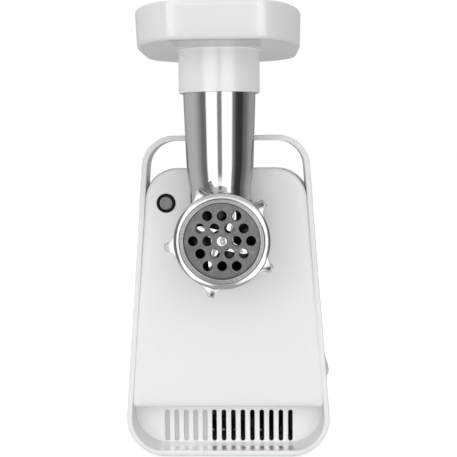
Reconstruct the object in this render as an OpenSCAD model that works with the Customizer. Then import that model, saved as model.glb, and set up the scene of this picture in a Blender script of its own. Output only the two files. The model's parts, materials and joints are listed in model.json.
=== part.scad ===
// Electric meat grinder for the kitchen: a tall tapered housing with a strap that is also its handle,
// a steel grinding head with a bayonet at its back, and a gear motor inside.
// Front faces -Y, up is +Z, and the object stands on Z = 0.

/* [Housing] */
// Half of the width that the slanted sides would have at ground level
side_base = 89.6; // [88:0.1:92]
// How much each side leans in for every millimetre of height
side_slope = 0.0785; // [0.06:0.0005:0.09]
// Height of the underside of the strap
strap_low = 2; // [1.5:0.1:3]
// Height of the top of the handle
handle_top = 276; // [272:0.1:280]
// Thickness of the strap
strap_t = 4.4; // [4:0.1:5]
// Depth of the strap from front to back
strap_depth = 31; // [28:0.5:33]
// Height of the top of the housing
body_top = 248.3; // [246:0.1:250]
// Position of the front face
front_y = -30; // [-31:0.1:-29.5]
// Position of the rear face of the housing
rear_y = 144; // [142:0.5:150]
// Wall thickness of the moulded shells
wall = 2.5; // [2.2:0.1:2.8]
// Radius of the lower corners
low_corner_r = 33; // [30:0.5:34]
// Radius of the handle's corners
handle_corner_r = 27; // [25:0.5:28]
// Radius of the housing's shoulders
shoulder_r = 28; // [26:0.5:29]
// Radius that rounds the front edges
front_edge_r = 4; // [3:0.1:5]
// Radius that rounds the rear edges
rear_edge_r = 22; // [18:0.5:24]
// Narrowing of the housing towards the back
rear_draft = 3; // [2:0.1:4]

/* [Vents] */
// Height of the lower edge of the front cover, above the vent bay
lip_z = 45; // [44:0.1:46]
// Depth of the vent bay behind the front face
bay_depth = 25; // [22:0.5:26]
// Number of slots in the grille
slot_count = 14; // [12:14]
// Number of slots at the left that are only grooves
blind_count = 5; // [3:6]
// Distance between two slots
slot_pitch = 8.38; // [8:0.01:8.5]
// Width of a slot
slot_w = 3.9; // [3.5:0.1:4.2]
// Height of a slot
slot_h = 28; // [26:0.5:29]
// Slant of the slots' walls
slot_slant = 24; // [15:1:28]

/* [Head] */
// Sideways position of the head and the gear train
head_x = -1.4; // [-3:0.1:0]
// Height of the barrel's axis
barrel_z = 195; // [194:0.5:196]
// Position of the front face of the ring nut
ring_front_y = -98; // [-98.2:0.1:-97.9]
// Sideways position of the feed tube and the hopper
tube_x = -3.5; // [-4:0.1:0]
// Position of the feed tube's axis
tube_y = -60; // [-60.2:0.1:-59.8]
// Height of the top of the feed tube
tube_top = 330; // [328:0.5:331]
// Radius of the ring nut
ring_r = 37; // [36.5:0.1:37.5]
// Radius at the tips of the ring nut's lugs
lug_tip_r = 43.8; // [42:0.1:44]
// Number of lugs on the ring nut
lug_count = 5; // [4:6]
// Angle of the first lug
lug_angle = 42; // [40:1:48]
// Radius of the opening in the ring nut
ring_opening_r = 28.9; // [28:0.1:29.5]
// Radius of the grinding plate
plate_r = 31; // [30.8:0.1:31]
// Thickness of the grinding plate
plate_t = 5; // [4.8:0.1:5]
// Radius of the holes in the grinding plate
hole_r = 3.75; // [3.5:0.05:3.8]
// Distance between two holes
hole_pitch = 11.1; // [10.5:0.1:11.2]

/* [Hopper] */
// Half of the hopper tray's width
tray_half_w = 63.3; // [60:0.1:64]
// Reach of the hopper tray in front of the feed tube
tray_front = 82.5; // [80:0.5:88]
// Reach of the hopper tray behind the feed tube
tray_rear = 98; // [92:0.5:99]
// Height of the tray's rim
tray_top = 367; // [366:0.5:370]
// Height of the tray's lower edge
tray_low = 341; // [339:0.5:342]
// Height where the tray meets its neck
neck_top = 333; // [332.5:0.1:334]
// Height of the neck's lower end
neck_low = 308; // [306:0.5:310]
// Radius of the neck
neck_r = 31.8; // [31.5:0.1:32.5]
// Thickness of the tray's walls
tray_wall = 2.6; // [2.4:0.1:3]
// How far the tray's front wall leans out
tray_lean = 9.5; // [6:0.5:14]
// Bore of the neck that slips over the feed tube
tray_bore_r = 29.6; // [29.5:0.05:29.8]
// Radius of the hole that the meat falls through
throat_r = 25.7; // [25:0.1:26]

/* [Controls] */
// Sideways position of the release button
button_x = -50; // [-51:0.1:-49]
// Height of the release button
button_z = 220; // [219:0.1:221]
// Radius of the release button
button_r = 5.5; // [5.3:0.1:5.5]
// Height of the switch
switch_z = 78.5; // [77:0.1:80]
// Half of the rocker's length, whose outside is domed
rocker_half = 8.8; // [8.5:0.1:9]
// Tilt of the rocker to either side
rocker_tilt = 7; // [6:0.5:7]

/* [Gears] */
// Teeth of each of the three pinions
pinion_teeth = 12; // [12:12]
// Teeth of the wheel driven by the motor
first_teeth = 60; // [60:60]
// Teeth of the second wheel
second_teeth = 48; // [48:48]
// Teeth of the output wheel
output_teeth = 48; // [48:48]
// Module of the first pair
first_module = 1; // [1:1]
// Module of the second pair
second_module = 1.25; // [1.25:1.25]
// Module of the output pair
output_module = 1.5; // [1.5:1.5]

/* [Hidden] */
round_fn = 96;
corner_steps = 18;
hull_steps = 8;
slot_steps = 8;
far = 400;
seat_gap = 0.02;
run_gap = 0.05;
part_gap = 0.15;
free_gap = 0.35;

side_stretch = sqrt(1 + side_slope * side_slope);
side_angle = atan(side_slope);
strap_back = front_y + strap_depth;
cover_inset = strap_t + part_gap;
rear_inset = 1.2;
rear_low = 6;
bay_y = front_y + bay_depth;
bay_floor = strap_low + strap_t;
slot_mid_z = bay_floor + 0.8 + slot_h / 2;

// Stations along the grinding axis, from the front to the back
ring_depth = 13.5;
ring_back_y = ring_front_y + ring_depth;
ring_lip_y = ring_front_y + 4.5;
plate_front_y = ring_lip_y + 0.3;
plate_back_y = plate_front_y + plate_t;
barrel_front_y = plate_front_y + 1.2;
recess_y = plate_back_y + free_gap;
knife_front_y = recess_y + 0.05;
knife_t = 5;
auger_front_y = knife_front_y + knife_t + 1;
barrel_back_y = -38.5;
auger_back_y = barrel_back_y - 1.8;
head_shoulder_y = -34.5;
drive_front_y = -34.5;
drive_back_y = -24.6;
spigot_back_y = -24.5;
socket_front_y = -34;
socket_lip_y = -31.4;
flange_y = -27.3;
case_front_y = -21;

bore_r = 25.8;
recess_r = plate_r + 0.3;
barrel_r = 31.5;
tube_t = 2.5;
front_corner = [35.4, 78];
rear_corner = [56, 47];
thread_r = 33.3;
key_r = 1;
key_drop = 30.2;
spigot_r = 26.2;
bayonet_r = 29.8;
socket_r = 30.2;
collar_r = 34.5;
flange_r = 41;
latch_angle = atan2(button_z - barrel_z, button_x - head_x);
latch_reach = norm([button_z - barrel_z, button_x - head_x]);
head_turn = 45;

// Gear train: axes in one upright line under the barrel's axis
output_z = barrel_z;
second_z = output_z - output_module * (pinion_teeth + output_teeth) / 2;
first_z = second_z - second_module * (pinion_teeth + second_teeth) / 2;
motor_z = first_z - first_module * (pinion_teeth + first_teeth) / 2;
cover_y = 14.2;
case_top_r = 43;
case_low_r = 37.5;
case_low_z = 88;
case_wall = 3.5;
gear_screw_at = [[42.6, 110], [45.5, 168], [23.3, 235.2]];

// Motor: stations from the gearbox to its rear end
bolt_at = 25;
bracket_y = 22.2;
stator_y = 45;
stator_end_y = 88;
rear_bracket_y = 110.5;
shaft_end_y = 119;
shaft_r = 4;
core_r = 20.1;
commutator_r = 11;

case_boss_at = [[64, 54], [56, 190]];
base_boss_at = [[46, 9], [46, 121]];
foot_at = [[46, -15], [46, 107]];
rocker_pin_r = 1.2;
stem_top = 5;
gland_x = -40;
gland_z = 44;

// ---------------------------------------------------------------- shared shapes

// Half width of the housing at a height, pulled in by an inset
function half_width(z, inset = 0) = side_base - side_slope * z - inset * side_stretch;

function unit(v) = v / norm(v);

// Flat outline drawn in X and Z, made solid between two positions along Y
module slab_y(near, back) {
    translate([0, back, 0]) rotate([90, 0, 0]) linear_extrude(back - near) children();
}

module rod_y(r, near, back) {
    translate([0, back, 0]) rotate([90, 0, 0]) cylinder(r = r, h = back - near, $fn = round_fn);
}

// Solid turned about an axis along Y, from a profile of [radius, y] points
module turn_y(profile) {
    rotate([90, 0, 0]) rotate_extrude($fn = round_fn)
        polygon([for (p = profile) [p[0], -p[1]]]);
}

// Moves to an axis of the gear train or the head
module on_axis(z) {
    translate([head_x, 0, z]) children();
}

// Both sides of the housing
module both_sides() {
    for (side = [0, 1]) mirror([side, 0, 0]) children();
}

// Points along an arc, from one angle through a sweep
function arc_points(centre, r, from, sweep, steps) =
    [for (k = [0:steps]) let (a = from + sweep * k / steps) centre + r * [cos(a), sin(a)]];

// Outline through corners listed counter-clockwise, each rounded by its own radius
module rounded_outline(corners, radii, steps) {
    n = len(corners);
    polygon([for (i = [0:n - 1]) let (
        back = unit(corners[(i + n - 1) % n] - corners[i]),
        on = unit(corners[(i + 1) % n] - corners[i]),
        half = acos(back * on) / 2,
        centre = corners[i] + unit(back + on) * radii[i] / sin(half),
        start = corners[i] + back * radii[i] / tan(half) - centre)
        each arc_points(centre, radii[i], atan2(start[1], start[0]), 180 - 2 * half, steps)]);
}

// Cross outline of the housing, between two heights
module body_outline(inset, low, top, low_r, top_r, steps = corner_steps) {
    rounded_outline([
        [-half_width(low, inset), low], [half_width(low, inset), low],
        [half_width(top, inset), top], [-half_width(top, inset), top]
    ], [low_r, low_r, top_r, top_r], steps);
}

// Part of a flat ring between two angles
module sector(r_in, r_out, from, to) {
    intersection() {
        difference() {
            circle(r_out, $fn = round_fn);
            if (r_in > 0) circle(r_in, $fn = round_fn);
        }
        polygon(concat([[0, 0]], [for (k = [0:4])
            let (a = from + (to - from) * k / 4) 2 * r_out * [cos(a), sin(a)]]));
    }
}

// Outline round two circles on an upright line, with straight flanks that touch both
module tapered_slot(low_z, low_r, top_z, top_r) {
    lean = asin((top_r - low_r) / (top_z - low_z));
    polygon(concat(
        arc_points([0, top_z], top_r, -lean, 180 + 2 * lean, 2 * corner_steps),
        arc_points([0, low_z], low_r, 180 + lean, 180 - 2 * lean, 2 * corner_steps)));
}

module rounded_rectangle(half_x, low_y, high_y, r, steps = corner_steps) {
    rounded_outline([[-half_x, low_y], [half_x, low_y], [half_x, high_y], [-half_x, high_y]],
        [r, r, r, r], steps);
}

// Cross-recessed pan head screw: head above Z = 0, shank below
module screw(head_r, shank_r, length) {
    head_h = head_r * 0.7;
    difference() {
        union() {
            cylinder(r = head_r, h = head_h, $fn = 48);
            translate([0, 0, -length]) cylinder(r = shank_r, h = length + 0.1, $fn = 48);
        }
        for (turn = [0, 90]) rotate([0, 0, turn])
            translate([-head_r * 0.6, -head_r * 0.12, head_h * 0.4])
                cube([head_r * 1.2, head_r * 0.24, head_h]);
    }
}

// Coil spring along +Z, its wire swept as one closed solid
module coil_spring(coil_r, wire_r, turns, length) {
    steps = 16;
    sides = 8;
    rings = turns * steps;
    rise = length - 2 * wire_r;
    points = [for (i = [0:rings], k = [0:sides - 1]) let (
        a = 360 * i / steps, b = 360 * k / sides, r = coil_r + wire_r * cos(b))
        [r * cos(a), r * sin(a), wire_r + rise * i / rings + wire_r * sin(b)]];
    sides_faces = [for (i = [0:rings - 1], k = [0:sides - 1]) let (
        near = i * sides + k, beside = i * sides + (k + 1) % sides)
        [near, near + sides, beside + sides, beside]];
    start = [for (k = [0:sides - 1]) k];
    end = [for (k = [0:sides - 1]) rings * sides + sides - 1 - k];
    polyhedron(points, concat(sides_faces, [start, end]), convexity = 10);
}

// Involute angle at a radius, in degrees
function involute(base_r, r) =
    r <= base_r ? 0 : let (a = acos(base_r / r)) tan(a) * 180 / PI - a;

// Flat outline of a spur gear with its first tooth pointing along +X
module gear_outline(mod, teeth) {
    pitch_r = mod * teeth / 2;
    base_r = pitch_r * cos(20);
    root_r = pitch_r - 1.15 * mod;
    tip_r = pitch_r + 0.75 * mod;
    play = 0.13 * mod / pitch_r * 180 / PI;
    flank = [root_r, max(root_r, base_r) + 0.05 * mod, pitch_r, tip_r];
    half = [for (r = flank) 90 / teeth - play + involute(base_r, pitch_r) - involute(base_r, r)];
    polygon([for (t = [0:teeth - 1], k = [0:7]) let (
        i = k < 4 ? k : 7 - k, a = 360 * t / teeth + (k < 4 ? -half[i] : half[i]))
        flank[i] * [cos(a), sin(a)]]);
}

// ---------------------------------------------------------------- housing

module side_band() {
    color("white") difference() {
        slab_y(front_y, strap_back)
            body_outline(0, strap_low, handle_top, low_corner_r, handle_corner_r);
        slab_y(front_y - 1, strap_back + 1)
            body_outline(strap_t, bay_floor, handle_top - strap_t,
                low_corner_r - strap_t, handle_corner_r - strap_t);
        switch_frame() slab_y(-5.6, 5.6) translate([-9, -9.6]) square([20, 19.2]);
        both_sides() translate([foot_at[0][0], foot_at[0][1], 0])
            cylinder(r = 3 + run_gap, h = stem_top + run_gap, $fn = 48);
    }
}

// Slice of the front cover; a bigger inset rounds its edge
module cover_slice(inset, near, back) {
    slab_y(near, back) body_outline(cover_inset + inset, lip_z + inset, body_top - inset,
        3, shoulder_r - inset, hull_steps);
}

module front_cover() {
    color("white") difference() {
        union() {
            difference() {
                hull() {
                    for (t = [0, 0.13, 0.5, 1]) cover_slice(
                        front_edge_r * (1 - sqrt(1 - (1 - t) * (1 - t))),
                        front_y + front_edge_r * t, front_y + front_edge_r * t + 0.05);
                    cover_slice(0, strap_back - 0.05, strap_back);
                }
                slab_y(front_y + wall, strap_back + 1)
                    body_outline(cover_inset + wall, lip_z + wall, body_top - wall, 1, shoulder_r - wall);
            }
            both_sides() for (p = case_boss_at) translate([p[0], 0, p[1]])
                rod_y(5, front_y + wall - 0.5, strap_back);
            for (side = [-1, 1], p = gear_screw_at) on_axis(p[1]) translate([side * p[0], 0, 0])
                rod_y(5, front_y + wall - 0.5, case_front_y - part_gap);
        }
        both_sides() for (p = case_boss_at) translate([p[0], 0, p[1]])
            rod_y(1.95, strap_back - 21.5, strap_back + 1);
        for (side = [-1, 1], p = gear_screw_at) on_axis(p[1]) translate([side * p[0], 0, 0])
            rod_y(2.05, front_y + wall + 0.6, 0);
        on_axis(barrel_z) rod_y(collar_r + part_gap, front_y - 5, front_y + 5);
        translate([button_x, 0, button_z]) rod_y(6.6 + part_gap, front_y - 5, front_y + 5);
        switch_frame() slab_y(-6.2, 6.2) translate([-12, -10.4]) square([20, 20.8]);
    }
}

// Slot with round ends, centred on its own origin
module slot_outline(width, height) {
    reach = (height - width) / 2;
    polygon(concat(arc_points([0, reach], width / 2, 0, 180, slot_steps),
        arc_points([0, -reach], width / 2, 180, 180, slot_steps)));
}

module vent_grille() {
    color("white") difference() {
        slab_y(bay_y, bay_y + 3) intersection() {
            body_outline(strap_t + part_gap, bay_floor + part_gap, handle_top - strap_t,
                low_corner_r - strap_t, handle_corner_r - strap_t);
            translate([-far / 2, 0]) square([far, lip_z - part_gap]);
        }
        for (i = [0:slot_count - 1]) translate([(i - (slot_count - 1) / 2) * slot_pitch, 0, slot_mid_z])
            if (i < blind_count) slab_y(bay_y - 1, bay_y + 1.3) slot_outline(slot_w, slot_h);
            else translate([0, bay_y, 0]) rotate([0, 0, slot_slant])
                slab_y(-3, 8) slot_outline(slot_w * cos(slot_slant), slot_h);
    }
}

// Slice of the rear housing at a distance from its rear face
module rear_slice(from_rear, shrink) {
    r = rear_edge_r - shrink;
    depth = rear_y - shrink - from_rear;
    rounded = from_rear < r ? r - sqrt(r * r - (r - from_rear) * (r - from_rear)) : 0;
    narrowed = rear_draft * min(1, (depth - strap_back) / (rear_y - rear_edge_r - strap_back));
    inset = shrink + rounded;
    slab_y(depth - 0.05, depth) body_outline(rear_inset + narrowed + inset, rear_low + inset,
        body_top - narrowed - inset, max(6, low_corner_r - 3 - inset), max(6, shoulder_r - inset),
        hull_steps);
}

module rear_form(shrink, start) {
    r = rear_edge_r - shrink;
    hull() {
        for (t = [0, 0.07, 0.25, 0.55, 1]) rear_slice(r * t, shrink);
        rear_slice(rear_y - shrink - start, shrink);
    }
}

module rear_housing() {
    tube_end = rear_y - 4;
    color("white") difference() {
        union() {
            difference() {
                rear_form(0, strap_back + part_gap + 0.05);
                rear_form(wall + 0.3, strap_back - 1);
            }
            both_sides() for (p = case_boss_at) translate([p[0], 0, p[1]])
                rod_y(5.5, strap_back + part_gap, tube_end);
            both_sides() for (p = base_boss_at) translate([p[0], p[1], rear_low + 0.1])
                cylinder(r = 4.5, h = 14, $fn = 48);
        }
        both_sides() for (p = case_boss_at) translate([p[0], 0, p[1]]) {
            rod_y(2, strap_back - 1, strap_back + 20);
            rod_y(3.7, strap_back + 15, rear_y + 1);
        }
        both_sides() for (p = base_boss_at) translate([p[0], p[1], 0])
            cylinder(r = 1.75, h = 19, $fn = 48);
        translate([0, 0, -10]) linear_extrude(10 + rear_low + wall + 1) rounded_rectangle(39, 17, 118, 6);
        translate([gland_x, 0, gland_z]) rod_y(8, rear_y - 10, rear_y + 5);
        for (i = [0:7]) translate([0, 0, 92 + 9 * i])
            slab_y(rear_y - 8, rear_y + 5) rotate([0, 0, 90]) slot_outline(4, 64);
    }
}

module base_plate() {
    color("whitesmoke") difference() {
        union() {
            translate([0, 0, rear_low - wall]) linear_extrude(wall)
                rounded_rectangle(54, strap_back + 2, 126, 8);
            for (x = [-24, 20], y = [36, 72]) translate([x, y, rear_low - 0.1])
                cylinder(r = 3, h = 8.1, $fn = 48);
        }
        both_sides() for (p = base_boss_at) translate([p[0], p[1], 0]) cylinder(r = 2, h = 10, $fn = 48);
        both_sides() translate([foot_at[1][0], foot_at[1][1], 0])
            cylinder(r = 3 + run_gap, h = 10, $fn = 48);
        for (i = [0:5]) translate([0, 20 + 3, 0]) translate([(i - 2.5) * 11, 0, 0])
            linear_extrude(10) slot_outline(4, 18);
    }
}

module rubber_feet() {
    color("dimgray") both_sides() {
        translate([foot_at[0][0], foot_at[0][1], 0]) {
            cylinder(r = 9, h = strap_low, $fn = 64);
            cylinder(r = 3, h = stem_top, $fn = 48);
        }
        translate([foot_at[1][0], foot_at[1][1], 0]) {
            cylinder(r = 9, h = rear_low - wall, $fn = 64);
            cylinder(r = 3, h = rear_low - part_gap, $fn = 48);
        }
    }
}

module case_screws() {
    color("silver") both_sides() for (p = case_boss_at)
        translate([p[0], strap_back + 15, p[1]]) rotate([-90, 0, 0]) screw(3.5, 1.9, 34);
}

module base_screws() {
    color("silver") both_sides() for (p = base_boss_at)
        translate([p[0], p[1], rear_low - wall]) rotate([180, 0, 0]) screw(3.2, 1.7, 13);
}

module cord_gland() {
    color("dimgray") translate([gland_x, 0, gland_z]) turn_y([
        [3.6, rear_y - 6], [9.6, rear_y - 6], [9.6, rear_y - wall - 0.8], [7.9, rear_y - wall - 0.8],
        [7.9, rear_y], [10.5, rear_y], [9.5, rear_y + 2], [3.6, rear_y + 2]
    ]);
}

// ---------------------------------------------------------------- release button and switch

module button_bezel() {
    color("black") difference() {
        translate([button_x, 0, button_z]) turn_y([
            [button_r + 0.3, front_y - 0.8], [7.6, front_y - 0.8], [8, front_y - 0.4],
            [8, front_y - 0.05], [6.6, front_y - 0.05], [6.6, -8],
            [3.3, -8], [3.3, -10], [button_r + 0.3, -10]
        ]);
        latch_frame() translate([latch_reach - 9, front_y + wall + 0.2, -3.8]) cube([8, 6.1, 7.6]);
    }
}

// Frame whose X axis runs from the barrel's axis to the release button
module latch_frame() {
    on_axis(barrel_z) rotate([0, -latch_angle, 0]) children();
}

module release_button() {
    color("gray") translate([button_x, 0, button_z]) difference() {
        turn_y([
            [0, front_y - 1.5], [button_r - 0.6, front_y - 1.5], [button_r, front_y - 0.9],
            [button_r, -18.6], [3, -18.6], [3, -7.5], [0, -7.5]
        ]);
    }
}

module latch_arm() {
    arm_y = front_y + wall + 0.5;
    color("gainsboro") difference() {
        latch_frame() union() {
            translate([27.2, arm_y, -3.5]) cube([latch_reach - 27.2 - button_r + 0.6, 2.5, 7]);
            translate([27.2, arm_y - 0.9, -3.5]) cube([2.6, 2, 7]);
        }
        translate([button_x, 0, button_z]) rod_y(button_r + seat_gap, front_y, 0);
    }
}

module button_spring() {
    color("silver") translate([button_x, -18.5, button_z]) rotate([-90, 0, 0])
        coil_spring(4.3, 0.4, 5, 8.4);
}

// Frame at the switch: X points out of the slanted side, Y stays, Z runs up along the side
module switch_frame() {
    translate([half_width(switch_z), front_y + strap_depth / 2, switch_z]) rotate([0, -side_angle, 0])
        children();
}

module switch_bezel() {
    color("whitesmoke") switch_frame() difference() {
        slab_y(-7.2, 7.2) polygon([[0.1, -11], [0.8, -10.6], [0.8, 10.6], [0.1, 11]]);
        slab_y(-5.6, 5.6) translate([-1, -9.6]) square([4, 19.2]);
    }
}

module switch_body() {
    color("black") switch_frame() difference() {
        union() {
            slab_y(-5.5, 5.5) translate([-22, -9.5]) square([22, 19]);
            for (z = [-6, 0, 6]) translate([-30, -2.4, z - 0.4]) cube([8.5, 4.8, 0.8]);
        }
        slab_y(-4.9, 4.9) polygon([[1, -9.3], [-3, -9.3], [-6, 0], [-3, 9.3], [1, 9.3]]);
    }
    color("black") switch_frame() rod_y(rocker_pin_r - run_gap, -5, 5);
}

module rocker_switch() {
    color("white") switch_frame() rotate([0, -rocker_tilt, 0]) slab_y(-4.6, 4.6) difference() {
        polygon(concat(
            [for (i = [-8:8]) [2.75 - 2.95 * pow(abs(i) / 8, 3.6), rocker_half * i / 8]],
            [[-1.2, rocker_half], [-4, 0], [-1.2, -rocker_half]]
        ));
        circle(rocker_pin_r, $fn = 32);
    }
}

// ---------------------------------------------------------------- electrics

module terminal_block() {
    color("ivory") difference() {
        translate([-30, 82, rear_low]) cube([30, 14, 15]);
        for (i = [0:2]) translate([-25 + 10 * i, 89, rear_low]) {
            translate([0, 0, 8]) cylinder(r = 2.4, h = 8, $fn = 32);
            translate([0, 8, 5]) rotate([90, 0, 0]) cylinder(r = 1.9, h = 16, $fn = 32);
        }
    }
}

module control_board() {
    color("darkgreen") difference() {
        union() {
            translate([-28, 32, rear_low + 8]) cube([52, 44, 1.6]);
            translate([-2, 36, rear_low + 9.5]) cube([18, 15, 14]);
            for (i = [0:3]) translate([-18 + 6 * i, 66, rear_low + 9.5]) cylinder(r = 2, h = 6, $fn = 32);
        }
        for (x = [-24, 20], y = [36, 72]) translate([x, y, 0]) cylinder(r = 1.6, h = 20, $fn = 32);
    }
}

module capacitor() {
    color("goldenrod") translate([-23, 40, rear_low + 9.7]) cube([17, 9, 14]);
}

// ---------------------------------------------------------------- gearbox

module gear_screw_places() {
    for (side = [-1, 1], p = gear_screw_at) on_axis(p[1]) translate([side * p[0], 0, 0]) children();
}

module bolt_places() {
    for (dx = [-1, 1], dz = [-1, 1]) on_axis(motor_z + dz * bolt_at)
        translate([dx * bolt_at, 0, 0]) children();
}

module gearbox_outline(low_z, shrink) {
    translate([head_x, 0]) tapered_slot(low_z, case_low_r - shrink, output_z, case_top_r - shrink);
}

module gearbox_case() {
    color("lightgray") difference() {
        union() {
            slab_y(case_front_y, cover_y - 0.2) gearbox_outline(case_low_z, 0);
            gear_screw_places() rod_y(5, case_front_y, cover_y - 0.2);
            on_axis(output_z) rod_y(14, -24, case_front_y + 1);
        }
        difference() {
            slab_y(case_front_y + case_wall, cover_y) gearbox_outline(case_low_z, 3);
            gear_screw_places() rod_y(5, case_front_y, cover_y);
        }
        gear_screw_places() rod_y(2.05, -40, 40);
        on_axis(output_z) rod_y(11 + seat_gap, -30, 0);
        on_axis(second_z) rod_y(4.5 + seat_gap, case_front_y + 1, 0);
        on_axis(first_z) rod_y(shaft_r + seat_gap, case_front_y + 1, 0);
        socket_screw_places() rod_y(1.55, -30, 0);
    }
}

module gearbox_cover() {
    color("lightgray") difference() {
        union() {
            slab_y(cover_y, cover_y + 3.8) gearbox_outline(motor_z, 0);
            gear_screw_places() rod_y(5, cover_y, cover_y + 3.8);
            on_axis(output_z) rod_y(14, cover_y, cover_y + 7.8);
            bolt_places() rod_y(5.5, cover_y, bracket_y - 0.1);
        }
        gear_screw_places() rod_y(2.05, 0, 40);
        on_axis(output_z) rod_y(11 + seat_gap, 0, 40);
        on_axis(second_z) rod_y(4.5 + seat_gap, 0, cover_y + 2.5);
        on_axis(first_z) rod_y(shaft_r + seat_gap, 0, cover_y + 2.5);
        on_axis(motor_z) rod_y(6.5, 0, 40);
        bolt_places() rod_y(2.05, cover_y + 1, 40);
    }
}

module gearbox_screws() {
    color("silver") gear_screw_places() translate([0, cover_y + 3.8, 0]) rotate([-90, 0, 0])
        screw(3.6, 2, 44);
}

module gear_pins() {
    color("silver") {
        on_axis(second_z) rod_y(4.5, case_front_y + 1, cover_y + 2.4);
        on_axis(first_z) rod_y(shaft_r, case_front_y + 1, cover_y + 2.4);
    }
}

module output_bushes() {
    color("peru") on_axis(output_z) {
        turn_y([[8 + run_gap, -24], [11, -24], [11, -17.5], [8 + run_gap, -17.5]]);
        turn_y([[8 + run_gap, cover_y], [11, cover_y], [11, cover_y + 7.8], [8 + run_gap, cover_y + 7.8]]);
    }
}

module first_gear() {
    color("ivory") on_axis(first_z) difference() {
        slab_y(5, 12) rotate([0, 0, 180 / first_teeth]) gear_outline(first_module, first_teeth);
        rod_y(6 + seat_gap, 0, 20);
        for (i = [0:5]) rotate([0, 60 * i, 0]) translate([17, 0, 0]) rod_y(5, 0, 20);
    }
}

module first_pinion() {
    color("silver") on_axis(first_z) difference() {
        union() {
            slab_y(-3.5, 4.6) gear_outline(second_module, pinion_teeth);
            rod_y(6, 4.5, 12.5);
        }
        rod_y(shaft_r + run_gap, -10, 20);
    }
}

module second_gear() {
    color("ivory") on_axis(second_z) difference() {
        slab_y(-3, 4) rotate([0, 0, 180 / second_teeth]) gear_outline(second_module, second_teeth);
        rod_y(6.5 + seat_gap, -10, 20);
        for (i = [0:5]) rotate([0, 60 * i, 0]) translate([18, 0, 0]) rod_y(5, -10, 20);
    }
}

module second_pinion() {
    color("silver") on_axis(second_z) difference() {
        union() {
            slab_y(-16, -3.9) gear_outline(output_module, pinion_teeth);
            rod_y(6.5, -4, 4.5);
        }
        rod_y(4.5 + run_gap, -20, 20);
    }
}

module output_gear() {
    color("silver") on_axis(output_z) difference() {
        union() {
            slab_y(-16, -4) rotate([0, 0, 180 / output_teeth]) gear_outline(output_module, output_teeth);
            rod_y(13, -16.8, -2);
        }
        rod_y(8 + seat_gap, -20, 20);
        for (i = [0:7]) rotate([0, 45 * i, 0]) translate([23.5, 0, 0]) rod_y(5.5, -20, 20);
    }
}

module output_shaft() {
    hex_r = 6.15 / cos(30);
    color("silver") on_axis(output_z) difference() {
        union() {
            rod_y(8, drive_back_y - 0.1, cover_y + 7.3);
            rod_y(12, drive_front_y, drive_back_y);
        }
        slab_y(drive_front_y - 1, drive_back_y - 0.9) circle(hex_r, $fn = 6);
    }
}

// ---------------------------------------------------------------- motor

// Bearing bracket: a disc with a boss, and four posts that reach the stator
module motor_bracket(disc_near, disc_back, boss_back, seat_near, post_near, post_back) {
    difference() {
        union() {
            on_axis(motor_z) rod_y(34, disc_near, disc_back);
            on_axis(motor_z) rod_y(13.5, disc_near, boss_back);
            bolt_places() rod_y(4.5, post_near, post_back);
        }
        on_axis(motor_z) rod_y(11 + seat_gap, seat_near, boss_back + 1);
        on_axis(motor_z) rod_y(7, disc_near - 1, boss_back);
        bolt_places() rod_y(2.05, post_near - 10, post_back + 10);
        for (i = [0:3]) on_axis(motor_z) rotate([0, 90 * i, 0]) translate([22, 0, 0])
            rod_y(5, disc_near - 1, disc_back + 1);
    }
}

module motor_front_bracket() {
    color("lightgray") motor_bracket(bracket_y, bracket_y + 2.4, 31, 24, bracket_y, stator_y - 0.1);
}

module motor_rear_bracket() {
    color("lightgray") difference() {
        union() {
            motor_bracket(rear_bracket_y, rear_bracket_y + 2.5, 118.2, 111.2,
                stator_end_y + 0.1, rear_bracket_y + 2.5);
            on_axis(motor_z) for (side = [-1, 1])
                translate([side * 25 - 4, 97, -7.5]) cube([8, rear_bracket_y - 97 + 0.2, 15]);
        }
        on_axis(motor_z) translate([-40, 98, -5.1]) cube([80, 10.2, 10.2]);
    }
}

module motor_bolts() {
    color("silver") bolt_places() translate([0, rear_bracket_y + 2.5, 0]) rotate([-90, 0, 0])
        screw(3.6, 2, rear_bracket_y + 2.5 - 15.5);
}

module motor_bearings() {
    color("silver") on_axis(motor_z) for (y = [24, 111.2])
        turn_y([[shaft_r + run_gap, y], [11, y], [11, y + 7], [shaft_r + run_gap, y + 7]]);
}

module motor_cradle() {
    color("whitesmoke") difference() {
        translate([head_x - 20, 105, rear_low]) cube([40, 12, 44]);
        on_axis(motor_z) rod_y(34 + run_gap, rear_bracket_y - 0.1, rear_bracket_y + 2.6);
        on_axis(motor_z) rod_y(32, 100, 120);
        for (side = [-1, 1]) translate([head_x + side * 11 - 6, 100, rear_low + 5]) cube([12, 20, 18]);
    }
}

module stator_core() {
    color("slategray") on_axis(motor_z) difference() {
        slab_y(stator_y, stator_end_y) difference() {
            intersection() {
                circle(39, $fn = round_fn);
                square(66, center = true);
            }
            circle(20.6, $fn = round_fn);
            for (turn = [0, 180]) rotate([0, 0, turn]) sector(19, 30.6, -36, 36);
        }
        for (dx = [-1, 1], dz = [-1, 1]) translate([dx * bolt_at, 0, dz * bolt_at]) rod_y(2.05, 0, 120);
    }
}

module field_coils() {
    color("chocolate") on_axis(motor_z) for (turn = [0, 180]) rotate([0, turn, 0]) {
        slab_y(stator_y - 5, stator_end_y + 5) {
            sector(21.4, 30, 3, 35);
            sector(21.4, 30, 145, 177);
        }
        for (y = [stator_y - 5, stator_end_y + 0.1]) slab_y(y, y + 4.9) sector(21.4, 30, 3, 177);
    }
}

module rotor_shaft() {
    color("silver") on_axis(motor_z) rod_y(shaft_r, 4.6, shaft_end_y);
}

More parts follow.
